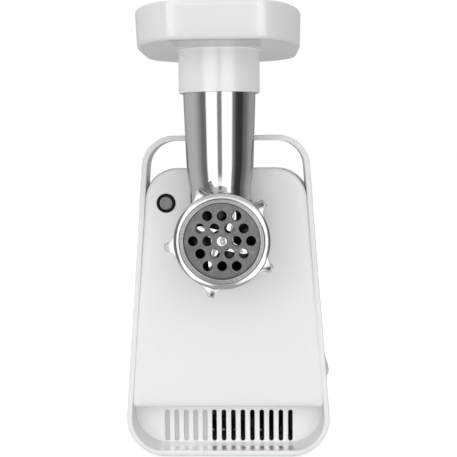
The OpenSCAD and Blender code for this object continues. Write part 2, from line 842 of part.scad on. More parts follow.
module rotor_core() {
    color("slategray") on_axis(motor_z) slab_y(stator_y + 0.2, stator_end_y - 0.2) difference() {
        circle(core_r, $fn = round_fn);
        circle(shaft_r + seat_gap, $fn = round_fn);
        for (i = [0:11]) rotate([0, 0, 30 * i]) {
            translate([15.5, 0]) circle(2.3, $fn = 32);
            translate([15.5, -0.7]) square([6, 1.4]);
        }
    }
}

module rotor_winding() {
    color("chocolate") on_axis(motor_z) {
        turn_y([[5, 39.8], [14, 39.8], [17.2, 42], [17.2, 45.1], [5, 45.1]]);
        turn_y([[5, 87.9], [17.2, 87.9], [17.2, 91], [13, 94.5], [5, 94.5]]);
        for (i = [0:11]) rotate([0, 30 * i, 0]) translate([15.5, 0, 0]) rod_y(2.2, 45, 88);
    }
}

module commutator() {
    color("peru") on_axis(motor_z) slab_y(96, 109.5) difference() {
        circle(commutator_r, $fn = round_fn);
        circle(shaft_r + seat_gap, $fn = round_fn);
        for (i = [0:23]) rotate([0, 0, 15 * i]) translate([commutator_r - 1, -0.25]) square([2, 0.5]);
    }
}

module cooling_fan() {
    color("black") on_axis(motor_z) difference() {
        union() {
            rod_y(8, 33, 39);
            rod_y(29, 33, 34.4);
            for (i = [0:9]) rotate([0, 36 * i, 0]) translate([7, 34.3, 0]) rotate([0, 24, 0])
                cube([19.5, 4.5, 1.2]);
        }
        rod_y(shaft_r + seat_gap, 30, 50);
    }
}

module motor_pinion() {
    color("silver") on_axis(motor_z) difference() {
        slab_y(5, 12.5) gear_outline(first_module, pinion_teeth);
        rod_y(shaft_r + seat_gap, 0, 20);
    }
}

// The two brushes face each other across the commutator
module brush_places() {
    on_axis(motor_z) for (turn = [0, 180]) rotate([0, turn, 0]) translate([0, 103.1, 0]) children();
}

module brush_holders() {
    color("gold") brush_places() difference() {
        translate([13, -5, -5]) cube([20, 10, 10]);
        translate([12, -3.7, -3.7]) cube([20, 7.4, 7.4]);
    }
}

module carbon_brushes() {
    color("black") brush_places() difference() {
        translate([commutator_r - 0.6, -3.6, -3.6]) cube([13.6, 7.2, 7.2]);
        rod_y(commutator_r + 0.3, -10, 10);
    }
}

module brush_springs() {
    color("silver") brush_places() translate([24.1, 0, 0]) rotate([0, 90, 0])
        coil_spring(2.6, 0.3, 6, 7.8);
}

// ---------------------------------------------------------------- head

module socket_screw_places() {
    for (turn = [-60, 60, 180]) on_axis(barrel_z) rotate([0, -latch_angle - turn, 0])
        translate([37.7, 0, 0]) children();
}

module head_socket() {
    color("silver") difference() {
        on_axis(barrel_z) turn_y([
            [26.5, socket_front_y], [collar_r - 1, socket_front_y], [collar_r, socket_front_y + 1],
            [collar_r, flange_y], [flange_r, flange_y], [flange_r, case_front_y - 0.2],
            [socket_r, case_front_y - 0.2], [socket_r, socket_lip_y], [26.5, socket_lip_y]
        ]);
        on_axis(barrel_z) for (k = [0:2]) slab_y(socket_front_y - 1, socket_lip_y + 1)
            rotate([0, 0, latch_angle - head_turn + 120 * k]) sector(20, socket_r - 0.1, -20, 20);
        latch_frame() translate([24, flange_y - 1.1, -4.2]) cube([20, 8, 8.4]);
        socket_screw_places() {
            rod_y(1.55, -40, 0);
            turn_y([
                [0, flange_y - 1], [2.9, flange_y - 1], [2.9, flange_y],
                [1.55, flange_y + 1.5], [0, flange_y + 1.5]
            ]);
        }
    }
}

module socket_screws() {
    color("silver") socket_screw_places() difference() {
        turn_y([[0, flange_y], [2.8, flange_y], [1.5, flange_y + 1.4], [1.5, -17.7], [0, -17.7]]);
        for (turn = [0, 90]) rotate([0, turn, 0]) translate([-1.4, flange_y - 1, -0.3])
            cube([2.8, 1.8, 0.6]);
    }
}

// Outside of the feed tube as [radius, height] points
tube_profile = [
    [0, 196], [24, 196], [24, barrel_z + 32], [24.3, barrel_z + 36], [25, barrel_z + 42],
    [25.9, barrel_z + 49], [26.6, barrel_z + 57], [27.5, barrel_z + 84], [28.5, neck_low],
    [29.2, tube_top - 1], [28.7, tube_top], [0, tube_top]
];

module on_tube_axis(z) {
    translate([tube_x, tube_y, z]) children();
}

// Solid of revolution about the feed tube's axis, from a profile of [radius, height] points
module turn_z(profile) {
    on_tube_axis(0) rotate_extrude($fn = round_fn) polygon(profile);
}

module tube_bore() {
    turn_z([
        [0, barrel_z + 5], [24 - tube_t, barrel_z + 5], [24 - tube_t, barrel_z + 34],
        [26.6 - tube_t, barrel_z + 57], [29.2 - tube_t, tube_top + 0.1], [0, tube_top + 0.1]
    ]);
}

// The barrel without its bore
module barrel_body() {
    on_axis(barrel_z) turn_y([
        [0, barrel_front_y], [thread_r - 0.5, barrel_front_y], [thread_r, barrel_front_y + 0.5],
        [thread_r, ring_back_y + 0.2], [barrel_r, ring_back_y + 1.5], [barrel_r, head_shoulder_y],
        [spigot_r, head_shoulder_y], [spigot_r, spigot_back_y], [0, spigot_back_y]
    ]);
}

module grinder_head() {
    color("silver") difference() {
        union() {
            barrel_body();
            on_axis(barrel_z) for (k = [0:2]) slab_y(-31.1, -28.3)
                rotate([0, 0, latch_angle + 120 * k]) sector(22, bayonet_r, -18, 18);
        }
        tube_bore();
        on_axis(barrel_z) {
            rod_y(recess_r, barrel_front_y - 1, recess_y);
            rod_y(bore_r, recess_y - 1, barrel_back_y);
            rod_y(11 + seat_gap, barrel_back_y - 1, 0);
            rod_y(20, head_shoulder_y - 0.2, 0);
            translate([0, 0, -key_drop]) rod_y(key_r + seat_gap, recess_y - 1, recess_y + 4);
        }
    }
}

// Welded onto the barrel, so its lower end follows the barrel's outside
module feed_tube() {
    color("silver") difference() {
        turn_z(tube_profile);
        tube_bore();
        barrel_body();
    }
}

module auger_bush() {
    color("peru") on_axis(barrel_z) turn_y([
        [8 + run_gap, barrel_back_y], [11, barrel_back_y], [11, head_shoulder_y - 0.3],
        [8 + run_gap, head_shoulder_y - 0.3]
    ]);
}

module plate_key() {
    color("silver") on_axis(barrel_z - key_drop) rod_y(key_r, barrel_front_y, recess_y + 3.9);
}

module auger() {
    length = auger_back_y - auger_front_y;
    turns = 2.3;
    color("silver") on_axis(barrel_z) difference() {
        union() {
            translate([0, auger_back_y, 0]) rotate([90, 0, 0])
                linear_extrude(length, twist = 360 * turns, slices = 84)
                    translate([7, -2]) square([18, 4]);
            turn_y([
                [0, auger_front_y], [8.5, auger_front_y], [10, auger_back_y - 8],
                [14, auger_back_y], [0, auger_back_y]
            ]);
        }
        rod_y(6 + seat_gap, auger_front_y - 1, auger_back_y + 1);
    }
}

module auger_shaft() {
    pin_end_y = plate_front_y - 1.3;
    color("silver") on_axis(barrel_z) {
        rod_y(hole_r - run_gap, pin_end_y, knife_front_y + 0.1);
        translate([-4.5, knife_front_y, -4.5]) cube([9, auger_front_y - knife_front_y, 9]);
        rod_y(6, auger_front_y - 1, auger_back_y + 0.1);
        rod_y(8, auger_back_y, drive_front_y);
        slab_y(drive_front_y - 0.1, drive_back_y - 1.2) circle(6 / cos(30), $fn = 6);
    }
}

module auger_washer() {
    color("white") on_axis(barrel_z) turn_y([
        [8 + run_gap, auger_back_y + 0.1], [12, auger_back_y + 0.1], [12, barrel_back_y - 0.3],
        [8 + run_gap, barrel_back_y - 0.3]
    ]);
}

module knife() {
    color("silver") on_axis(barrel_z) difference() {
        slab_y(knife_front_y, knife_front_y + knife_t) union() {
            circle(9, $fn = 64);
            for (turn = [0:3]) rotate([0, 0, 90 * turn + 62])
                polygon([[5, -5.8], [9, -5], [19, -2.4], [24.7, 0.8], [24.6, 3.4], [14, 2.4], [5, 2.8]]);
        }
        translate([-4.55, knife_front_y - 1, -4.55]) cube([9.1, knife_t + 2, 9.1]);
    }
}

module grinding_plate() {
    rows = [[-2, 3], [-1, 4], [0, 5], [1, 4], [2, 3]];
    color("gray") on_axis(barrel_z) difference() {
        turn_y([[0, plate_front_y], [plate_r - 0.5, plate_front_y], [plate_r, plate_front_y + 0.5],
            [plate_r, plate_back_y], [0, plate_back_y]]);
        for (row = rows, i = [0:row[1] - 1])
            translate([(i - (row[1] - 1) / 2) * hole_pitch, 0, row[0] * hole_pitch * sin(60)])
                rod_y(hole_r, plate_front_y - 1, plate_back_y + 1);
        translate([-1.4, plate_front_y - 1, -plate_r - 1]) cube([2.8, plate_t + 2, 3.1]);
    }
}

// Half width of a lug at a radius: wide and hollow at its root, narrow at its tip
function lug_half_width(r) = 2.8 + 6.4 * pow((lug_tip_r - r) / (lug_tip_r - 35.5), 2.6);

module ring_nut() {
    lug_r = [35.5, 36.6, 37.8, 39.2, 40.8, 42.4, lug_tip_r];
    color("silver") on_axis(barrel_z) difference() {
        union() {
            turn_y([
                [0, ring_back_y], [ring_r - 0.8, ring_back_y], [ring_r, ring_back_y + -1],
                [ring_r, ring_front_y + 3.2], [ring_r - 0.5, ring_front_y + 1.6],
                [ring_r - 3.4, ring_front_y], [ring_r - 4.4, ring_front_y], [ring_r - 5, ring_front_y + 0.8],
                [ring_opening_r + 1, ring_front_y + 1.6], [0, ring_front_y + 1.6]
            ]);
            for (k = [0:lug_count - 1]) slab_y(ring_front_y + 1.5, ring_front_y + 10.5)
                rotate([0, 0, lug_angle + 360 / lug_count * k]) polygon(concat(
                    [for (r = lug_r) [r, -lug_half_width(r)]],
                    [for (i = [6:-1:0]) [lug_r[i], lug_half_width(lug_r[i])]]));
        }
        rod_y(thread_r + 0.4, ring_lip_y, ring_back_y + 1);
        rod_y(ring_opening_r, ring_front_y - 1, ring_lip_y + 1);
        turn_y([
            [0, ring_front_y], [ring_opening_r + 1, ring_front_y], [ring_opening_r + 1, ring_front_y + 1.6],
            [ring_opening_r, ring_front_y + 2.6], [0, ring_front_y + 2.6]
        ]);
    }
}

// ---------------------------------------------------------------- hopper

// Slice of the tray: its front bulges further than its rear, so the corners are quarter ellipses
module tray_slice(inset, front, z) {
    half = tray_half_w - inset;
    corners = [
        [half, tray_rear - inset, rear_corner, 0], [-half, tray_rear - inset, rear_corner, 90],
        [-half, inset - front, front_corner, 180], [half, inset - front, front_corner, 270]
    ];
    outline = [for (c = corners, i = [0:corner_steps])
        let (
            turn = c[3] + 90 * i / corner_steps,
            centre = [c[0] - sign(c[0]) * (c[2][0] - inset), c[1] - sign(c[1]) * (c[2][1] - inset)]
        )
        centre + [cos(turn) * (c[2][0] - inset), sin(turn) * (c[2][1] - inset)]
    ];
    translate([tube_x, tube_y, z]) linear_extrude(0.05) polygon(outline);
}

// The front wall leans out, the other walls are upright
module hopper_tray() {
    rise = 3;
    floor_z = tray_low + tray_wall;
    color("white") difference() {
        hull() {
            tray_slice(0, tray_front, tray_top - 0.05);
            tray_slice(0.3, tray_front - tray_lean, tray_low + rise);
            tray_slice(rise, tray_front - tray_lean, tray_low);
        }
        hull() {
            tray_slice(tray_wall, tray_front, tray_top);
            tray_slice(tray_wall + 0.3, tray_front - tray_lean, floor_z + rise);
            tray_slice(tray_wall + rise, tray_front - tray_lean, floor_z);
        }
        turn_z([
            [0, tray_low - 1], [throat_r, tray_low - 1], [throat_r, tray_low - 0.5],
            [throat_r + 6, floor_z + 0.1], [0, floor_z + 0.1]
        ]);
    }
}

// Moulded in one with the tray, around the top of the feed tube
module tray_neck() {
    color("white") turn_z([
        [tray_bore_r, neck_low], [neck_r, neck_low], [neck_r, neck_top], [neck_r + 2, tray_low],
        [throat_r, tray_low], [throat_r, tube_top + 0.3], [tray_bore_r, tube_top + 0.3]
    ]);
}

side_band();
front_cover();
vent_grille();
rear_housing();
base_plate();
rubber_feet();
case_screws();
base_screws();
head_socket();
socket_screws();
button_bezel();
release_button();
latch_arm();
button_spring();
switch_bezel();
switch_body();
rocker_switch();
cord_gland();
terminal_block();
control_board();
capacitor();
gearbox_case();
gearbox_cover();
gearbox_screws();
gear_pins();
output_bushes();
first_gear();
first_pinion();
second_gear();
second_pinion();
output_gear();
output_shaft();
motor_front_bracket();
motor_rear_bracket();
motor_bolts();
motor_bearings();
motor_cradle();
stator_core();
field_coils();
rotor_shaft();
rotor_core();
rotor_winding();
commutator();
cooling_fan();
motor_pinion();
brush_holders();
carbon_brushes();
brush_springs();
grinder_head();
feed_tube();
auger_bush();
plate_key();
auger();
auger_shaft();
auger_washer();
knife();
grinding_plate();
ring_nut();
hopper_tray();
tray_neck();
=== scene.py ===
"""Looks of the meat grinder: its pieces' finish, finer shapes for the shells, and a plain pale studio."""

import json
import math

import bmesh
import bpy
from mathutils import Matrix, Vector


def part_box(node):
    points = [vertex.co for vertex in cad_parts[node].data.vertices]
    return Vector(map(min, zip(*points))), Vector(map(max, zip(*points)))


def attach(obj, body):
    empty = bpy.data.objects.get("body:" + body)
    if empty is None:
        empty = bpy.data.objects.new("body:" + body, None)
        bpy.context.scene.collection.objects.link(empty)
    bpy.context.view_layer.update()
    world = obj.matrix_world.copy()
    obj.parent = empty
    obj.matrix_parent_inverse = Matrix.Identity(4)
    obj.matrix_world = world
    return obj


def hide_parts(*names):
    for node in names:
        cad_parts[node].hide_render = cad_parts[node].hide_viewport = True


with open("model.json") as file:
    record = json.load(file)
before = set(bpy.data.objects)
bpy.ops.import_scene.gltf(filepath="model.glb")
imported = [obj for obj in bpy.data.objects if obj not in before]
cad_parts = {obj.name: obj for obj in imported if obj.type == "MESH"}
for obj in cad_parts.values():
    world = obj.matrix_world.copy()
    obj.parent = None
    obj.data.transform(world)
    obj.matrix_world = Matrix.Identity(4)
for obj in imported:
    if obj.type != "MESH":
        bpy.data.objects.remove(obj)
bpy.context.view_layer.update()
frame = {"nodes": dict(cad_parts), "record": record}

MM = 0.001


def span(node):
    """Lowest and highest corner of a CAD node, in millimetres."""
    low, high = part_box(node)
    return low / MM, high / MM


band_low, band_high = span("side_band")
cover_low, cover_high = span("front_cover")
rear_low, rear_high = span("rear_housing")
grille_low, grille_high = span("vent_grille")
tray_low, tray_high = span("hopper_tray")
neck_low, neck_high = span("tray_neck")
barrel_low, barrel_high = span("grinder_head")
ring_low, ring_high = span("ring_nut")
plate_low, plate_high = span("grinding_plate")
button_low, button_high = span("release_button")
TUBE_TOP = span("feed_tube")[1].z

# the head's axis runs along Y, and the feed tube's axis is upright
HEAD_X = (plate_low.x + plate_high.x) / 2
HEAD_Z = (plate_low.z + plate_high.z) / 2
TUBE_X = (neck_low.x + neck_high.x) / 2
TUBE_Y = (neck_low.y + neck_high.y) / 2
BUTTON_X = (button_low.x + button_high.x) / 2
BUTTON_Z = (button_low.z + button_high.z) / 2

# the housing tapers towards the top; its half width is given at the floor
SIDE_BASE = 89.6
SIDE_SLOPE = 0.0785
SIDE_STRETCH = math.hypot(1, SIDE_SLOPE)
STRAP_T = 4.4
WALL = 2.5
LOW_R, HANDLE_R, SHOULDER_R = 33.0, 27.0, 28.0
REAR_EDGE_R, REAR_DRAFT = 22.0, 3.0
SWITCH_Z = 78.5
CASE_BOSSES = [(64, 54), (56, 190)]
GEAR_SCREWS = [(42.6, 110), (45.5, 168), (23.3, 235.2)]
GEARBOX_FRONT = -21.2

# the barrel of the grinding head, and the wall at the end of its bore
BARREL_R, THREAD_R, BORE_R = 31.5, 33.3, 25.8
BORE_END = -38.5


# ---------------------------------------------------------------- outlines

def half_width(z, inset=0.0):
    return SIDE_BASE - SIDE_SLOPE * z - inset * SIDE_STRETCH


def bend(*angles):
    """Sine and cosine of each angle in degrees, for an edge that is rounded in steps."""
    return [(math.sin(math.radians(a)), math.cos(math.radians(a))) for a in angles]


def arc(centre, r, start, sweep, steps):
    """Points (u, v) along an arc; angles in degrees."""
    turns = bend(*(start + sweep * k / steps for k in range(steps + 1)))
    return [(centre[0] + r * c, centre[1] + r * s) for s, c in turns]


def circle(x, y, r, steps):
    turns = [2 * math.pi * k / steps for k in range(steps)]
    return [(x + r * math.cos(turn), y + r * math.sin(turn)) for turn in turns]


def rounded_outline(corners, radii, steps):
    """Closed outline through counter-clockwise corners, each with its own radius."""
    points = []
    count = len(corners)
    for i, (corner, r) in enumerate(zip(corners, radii)):
        here = Vector(corner)
        back = (Vector(corners[i - 1]) - here).normalized()
        on = (Vector(corners[(i + 1) % count]) - here).normalized()
        half = math.acos(back.dot(on)) / 2
        centre = here + (back + on).normalized() * r / math.sin(half)
        start = here + back * r / math.tan(half) - centre
        turned_from = math.degrees(math.atan2(start.y, start.x))
        points += arc(centre, r, turned_from, 180 - 2 * math.degrees(half), steps)
    return points


def body_outline(inset, low, top, low_r, top_r, steps=20):
    """The housing's tapered outline, seen from the front, a distance inside its widest."""
    return rounded_outline(
        [(-half_width(low, inset), low), (half_width(low, inset), low),
         (half_width(top, inset), top), (-half_width(top, inset), top)],
        [low_r, low_r, top_r, top_r], steps)


def capsule(x, z, width, height, steps=8):
    """An upright slot's outline, round at both ends."""
    reach = (height - width) / 2
    return arc((x, z + reach), width / 2, 0, 180, steps) + arc((x, z - reach), width / 2, 180, 180, steps)


def filled(outline, longest=60.0, pieces=24):
    """The outline with points added along its long straight sides."""
    points = []
    for start, end in zip(outline, outline[1:] + outline[:1]):
        count = pieces if math.dist(start, end) > longest else 1
        points += [tuple(p + (q - p) * k / count for p, q in zip(start, end)) for k in range(count)]
    return points


def in_xz(outline, y):
    return [(u, y, v) for u, v in outline]


def in_xy(outline, z):
    return [(u, v, z) for u, v in outline]


def about_head(u, v, turn):
    """X and Z of a point given from the head's axis, turned about it by an angle in radians."""
    c, s = math.cos(turn), math.sin(turn)
    return HEAD_X + u * c - v * s, HEAD_Z + u * s + v * c


def mirrored(places, middle=0.0):
    """Places (x, z) at the left of a middle line, and then those at its right."""
    return [(middle + side * x, z) for side in (-1, 1) for x, z in places]


def eased_step(value, low, high):
    """Zero below the low limit, one above the high one, and a smooth rise between."""
    share = min(1.0, max(0.0, (value - low) / (high - low)))
    return share * share * (3 - 2 * share)


# ---------------------------------------------------------------- meshes

def add_object(name, data):
    obj = bpy.data.objects.new(name, data)
    bpy.context.scene.collection.objects.link(obj)
    return obj


def mesh_object(name, verts, faces):
    """A new object from points in millimetres."""
    mesh = bpy.data.meshes.new(name)
    mesh.from_pydata([Vector(v) * MM for v in verts], [], faces)
    return add_object(name, mesh)


def edit_mesh(obj, change):
    """Runs a function on the object's mesh."""
    bm = bmesh.new()
    bm.from_mesh(obj.data)
    change(bm)
    bm.to_mesh(obj.data)
    bm.free()


def tidy(obj):
    """Merges doubles and turns every face outward."""
    def change(bm):
        bmesh.ops.remove_doubles(bm, verts=bm.verts, dist=1e-6)
        bmesh.ops.recalc_face_normals(bm, faces=bm.faces)
    edit_mesh(obj, change)


def smooth(obj, angle):
    """Shades smooth, and keeps edges sharper than the angle."""
    limit = math.radians(angle)

    def change(bm):
        for edge in bm.edges:
            edge.smooth = not edge.is_manifold or edge.calc_face_angle(0) < limit
    obj.data.shade_smooth()
    edit_mesh(obj, change)


def settle(obj):
    """Applies every modifier, so that the piece is a plain mesh."""
    depsgraph = bpy.context.evaluated_depsgraph_get()
    mesh = bpy.data.meshes.new_from_object(obj.evaluated_get(depsgraph))
    obj.modifiers.clear()
    obj.data = mesh


def cut(obj, *cutters):
    """Takes the cutters away from a piece."""
    for cutter in cutters:
        step = obj.modifiers.new("cut", "BOOLEAN")
        step.object = cutter
        step.operation = "DIFFERENCE"
        step.solver = "EXACT"
    settle(obj)
    for cutter in cutters:
        bpy.data.objects.remove(cutter)


def bevel(obj, width, segments=3, angle=30):
    """Rounds the edges that are sharper than the angle."""
    step = obj.modifiers.new("edges", "BEVEL")
    step.width = width * MM
    step.segments = segments
    step.limit_method = "ANGLE"
    step.angle_limit = math.radians(angle)
    step.use_clamp_overlap = True
    settle(obj)


def join(name, parts):
    """One object from several."""
    bm = bmesh.new()
    for part in parts:
        bm.from_mesh(part.data)
    mesh = bpy.data.meshes.new(name)
    bm.to_mesh(mesh)
    bm.free()
    for part in parts:
        bpy.data.objects.remove(part)
    return add_object(name, mesh)


def loft(name, loops, closed=False, caps=(True, True)):
    """Skin through closed loops that all have the same number of points."""
    n = len(loops[0])
    verts = [p for loop in loops for p in loop]
    faces = []
    for i in range(len(loops) if closed else len(loops) - 1):
        a, b = i * n, (i + 1) % len(loops) * n
        faces += [(a + k, a + (k + 1) % n, b + (k + 1) % n, b + k) for k in range(n)]
    if not closed and caps[0]:
        faces.append(tuple(reversed(range(n))))
    if not closed and caps[1]:
        faces.append(tuple(range(len(verts) - n, len(verts))))
    obj = mesh_object(name, verts, faces)
    tidy(obj)
    return obj


def lathe_y(name, profile, x=HEAD_X, z=HEAD_Z, steps=128, closed=True):
    """Turned about an axis along Y, from (radius, y) points; closed profiles make rings."""
    return loft(name, [in_xz(circle(x, z, r, steps), y) for r, y in profile], closed=closed)


def tube_y(name, r, hole_r, near, back, x, z):
    """A plain tube along Y."""
    return lathe_y(name, [(hole_r, near), (r, near), (r, back), (hole_r, back)], x, z, 32)


def pin_cutter(r, near, back, x, z, steps):
    """A plain cylinder along Y, to cut with."""
    return lathe_y("cutter", [(0, near), (r, near), (r, back), (0, back)], x, z, steps, closed=False)


def prism_y(name, outline, near, back):
    """Outline in X and Z, made solid between two positions along Y."""
    return loft(name, [in_xz(outline, near), in_xz(outline, back)])


def block(name, low, high):
    """A box between two corners."""
    xs, ys, zs = zip(low, high)
    verts = [(x, y, z) for z in zs for y in ys for x in xs]
    faces = [(0, 2, 3, 1), (4, 5, 7, 6), (0, 1, 5, 4), (2, 6, 7, 3), (0, 4, 6, 2), (1, 3, 7, 5)]
    return mesh_object(name, verts, faces)


def moved(obj, place):
    """The object with each point where a function of its x, y and z puts it."""
    for vertex in obj.data.vertices:
        vertex.co = Vector(place(*(vertex.co / MM))) * MM
    tidy(obj)
    return obj


# ---------------------------------------------------------------- materials

class Socket:
    """A value in a material's node tree; arithmetic on it adds Math nodes."""

    def __init__(self, paint, socket):
        self.paint = paint
        self.socket = socket

    def __add__(self, other):
        return self.paint.math("ADD", self, other)

    def __radd__(self, other):
        return self.paint.math("ADD", other, self)

    def __sub__(self, other):
        return self.paint.math("SUBTRACT", self, other)

    def __rsub__(self, other):
        return self.paint.math("SUBTRACT", other, self)

    def __mul__(self, other):
        return self.paint.math("MULTIPLY", self, other)

    def __rmul__(self, other):
        return self.paint.math("MULTIPLY", other, self)


class Nodes:
    """Adds nodes to one tree; a Socket among the inputs becomes a link."""

    def __init__(self, tree):
        self.tree = tree
        tree.nodes.clear()

    def node(self, kind, settings=None, inputs=None, out=0):
        node = self.tree.nodes.new(kind)
        for key, value in (settings or {}).items():
            setattr(node, key, value)
        for key, value in (inputs or {}).items():
            if isinstance(value, Socket):
                self.tree.links.new(value.socket, node.inputs[key])
            else:
                node.inputs[key].default_value = value
        return Socket(self, node.outputs[out]) if node.outputs else None

    def math(self, operation, *values):
        return self.node("ShaderNodeMath", {"operation": operation}, dict(enumerate(values)))

    def scaled(self, vector, factor):
        return self.node("ShaderNodeVectorMath", {"operation": "SCALE"}, {0: vector, "Scale": factor})


class Paint(Nodes):
    """The node tree of a material or of the world."""

    def __init__(self, owner):
        owner.use_nodes = True
        super().__init__(owner.node_tree)

    def place(self):
        """The point in the row frame, in millimetres."""
        return self.scaled(self.node("ShaderNodeTexCoord", out=3), 1 / MM)

    def parts(self, vector):
        split = self.node("ShaderNodeSeparateXYZ", None, {"Vector": vector}).socket.node
        return [Socket(self, split.outputs[axis]) for axis in "XYZ"]

    def point(self):
        """X, y and z of the point in the row frame, in millimetres."""
        return self.parts(self.place())

    def vector(self, x, y, z):
        return self.node("ShaderNodeCombineXYZ", None, {"X": x, "Y": y, "Z": z})

    def distance(self, across, along):
        return self.math("SQRT", across * across + along * along)

    def clamp(self, value, low):
        """The value, kept between a low limit and one."""
        return self.node("ShaderNodeClamp", None, {"Value": value, "Min": low, "Max": 1.0})

    def steps(self, value, low, high, to_low=0.0, to_high=1.0, kind="SMOOTHSTEP"):
        """Goes from one result to the other while the value passes between two limits."""
        return self.node("ShaderNodeMapRange", {"interpolation_type": kind}, {
            "Value": value, "From Min": low, "From Max": high, "To Min": to_low, "To Max": to_high})

    def under(self, value, low, high):
        """One below the low limit, zero above the high one."""
        return self.steps(value, low, high, 1.0, 0.0)

    def within(self, value, low, high, soft):
        """One between two limits, zero outside them."""
        return self.steps(value, low - soft, low + soft) * self.under(value, high - soft, high + soft)

    def noise(self, vector, scale, detail=2.0, rough=0.5):
        return self.node("ShaderNodeTexNoise", None, {
            "Vector": vector, "Scale": scale, "Detail": detail, "Roughness": rough})

    def gray(self, value):
        return self.node("ShaderNodeCombineColor", None, {"Red": value, "Green": value, "Blue": value})

    def bump(self, height, strength, distance):
        """Bump from a height in millimetres."""
        return self.node("ShaderNodeBump", None, {
            "Height": height, "Strength": strength, "Distance": distance * MM})

    def surface(self, **inputs):
        named = {key.replace("_", " "): value for key, value in inputs.items()}
        shader = self.node("ShaderNodeBsdfPrincipled", None, named)
        self.node("ShaderNodeOutputMaterial", None, {"Surface": shader})


def material(name):
    made = bpy.data.materials.new(name)
    return made, Paint(made)


def around_head(paint):
    """Distance from the head's axis, and the position along it."""
    x, y, z = paint.point()
    return paint.distance(x - HEAD_X, z - HEAD_Z), y


def painted_inner_shade(paint, level):
    """Painted shade on the inside faces behind the vents, above a level."""
    x, y, z = paint.point()
    behind = paint.within(y, grille_high.y + 0.4, rear_high.y - 1.5, 0.3)
    return paint.within(x, -56.0, 56.0, 0.5) * behind * paint.within(z, level, 200.0, 0.1) * 0.93


def painted_switch_shade(paint):
    """Painted shade on the switch, where it stands out from the slanted side facing away from the light: a
    quarter darker than the housing.
    """
    x, y, z = paint.point()
    return 1.0 - paint.steps(x + z * SIDE_SLOPE, SIDE_BASE + 0.1, SIDE_BASE + 0.5) * 0.25


def housing_shade(paint):
    """Buffed floor under the vents that mirrors them in a narrow strip, with painted light that makes that
    recessed floor lighter; painted shade on the inside faces, on the switch, and towards the top, more at the
    left.
    """
    x, y, z = paint.point()
    # painted light: the recessed floor under the vents is painted lighter, and a narrow strip of it is made a
    # mirror
    floor_z = band_low.z + STRAP_T
    floor = paint.within(z, floor_z - 0.6, floor_z + 0.5, 0.15)
    floor = floor * paint.within(x, -58.0, 58.0, 10.0)
    floor = floor * paint.within(y, band_low.y - 0.5, grille_low.y + 1, 0.5)
    strip = paint.within(y, band_low.y + 3.0, grille_low.y - 10.5, 2.5)
    # painted shade on the inside faces behind the vents
    inner_shade_factor = 1.0 - painted_inner_shade(paint, floor_z - 0.2)
    # painted shade: the housing is painted darker towards the top, and more so at the left, for the tray's
    # shadow
    handling_wear_and_top_shade = 1.0 - paint.steps(z, 185.0, 250.0) * (0.105 - x * 0.0008)
    return (1.0 + floor * 0.30) * inner_shade_factor * painted_switch_shade(paint) * handling_wear_and_top_shade, floor * strip * 0.84


def vent_shade(paint):
    """Painted shade in the slots, deep ones black and blind ones gray, on the inside faces behind them, and
    on the switch.
    """
    x, y, z = paint.point()
    # painted shade in the slots: through slots are painted near black, blind ones gray
    slots = paint.within(z, 6.0, 45.0, 0.5) * paint.within(y, grille_low.y + 0.45, grille_high.y + 0.5, 0.25)
    slots = slots * paint.within(x, -62.0, 62.0, 1.0)
    through = paint.steps(x, -17.5, -16.5)
    shade = 1.0 - slots * (0.36 + through * 0.63)
    return shade * (1.0 - painted_inner_shade(paint, 5.75)) * painted_switch_shade(paint), 0.0


def neck_light(paint):
    """Painted light on the neck, stronger towards the tray above that shades it, and painted shade on the
    tray's underside beside the neck, most in a strip in front of it.
    """
    x, y, z = paint.point()
    across, along = x - TUBE_X, y - TUBE_Y
    below = paint.under(z, tray_low.z + 0.2, tray_low.z + 0.9)
    # painted light: the neck is painted lighter, more towards the tray above it
    neck = paint.under(paint.distance(across, along), 33.0, 33.6) * below
    before = paint.within(across, -32.0, 32.0, 2.0) * paint.under(along, -34.0, -30.0)
    # painted shade on the tray's underside, most in the strip in front of the neck
    shaded = below * (1.0 - neck) * (0.14 + before * 0.24)
    return 1.0 + neck * paint.steps(z, neck_low.z, tray_low.z, 0.06, 0.30, "LINEAR") - shaded, 0.0


def moulded(name, light, rough, grain, tint=(1, 1, 1), depth=0.02, flow=0.012, gloss=0.5, zones=None):
    """Moulded plastic: spark texture, faint flow marks and uneven gloss; zones add painted light and shade,
    and mirror.
    """
    made, paint = material(name)
    at = paint.place()
    fine = paint.noise(at, grain, 3.0, 0.6)
    broad = paint.noise(at, 0.035)
    handling_wear_and_top_shade = paint.noise(at, 0.12, 4.0, 0.6)
    local, mirror = zones(paint) if zones else (1.0, 0.0)
    shade = (1.0 + (broad - 0.5) * (2 * flow)) * local
    uneven = (fine - 0.5) * 0.10 + (handling_wear_and_top_shade - 0.5) * 0.12 - mirror * (rough * 0.3)
    paint.surface(
        Base_Color=paint.scaled(tuple(light * part for part in tint), shade),
        Metallic=mirror,
        Roughness=paint.clamp(rough + uneven, 0.05),
        Specular_IOR_Level=gloss,
        Normal=paint.bump(fine * (1.0 - mirror), 0.35, depth))
    return made


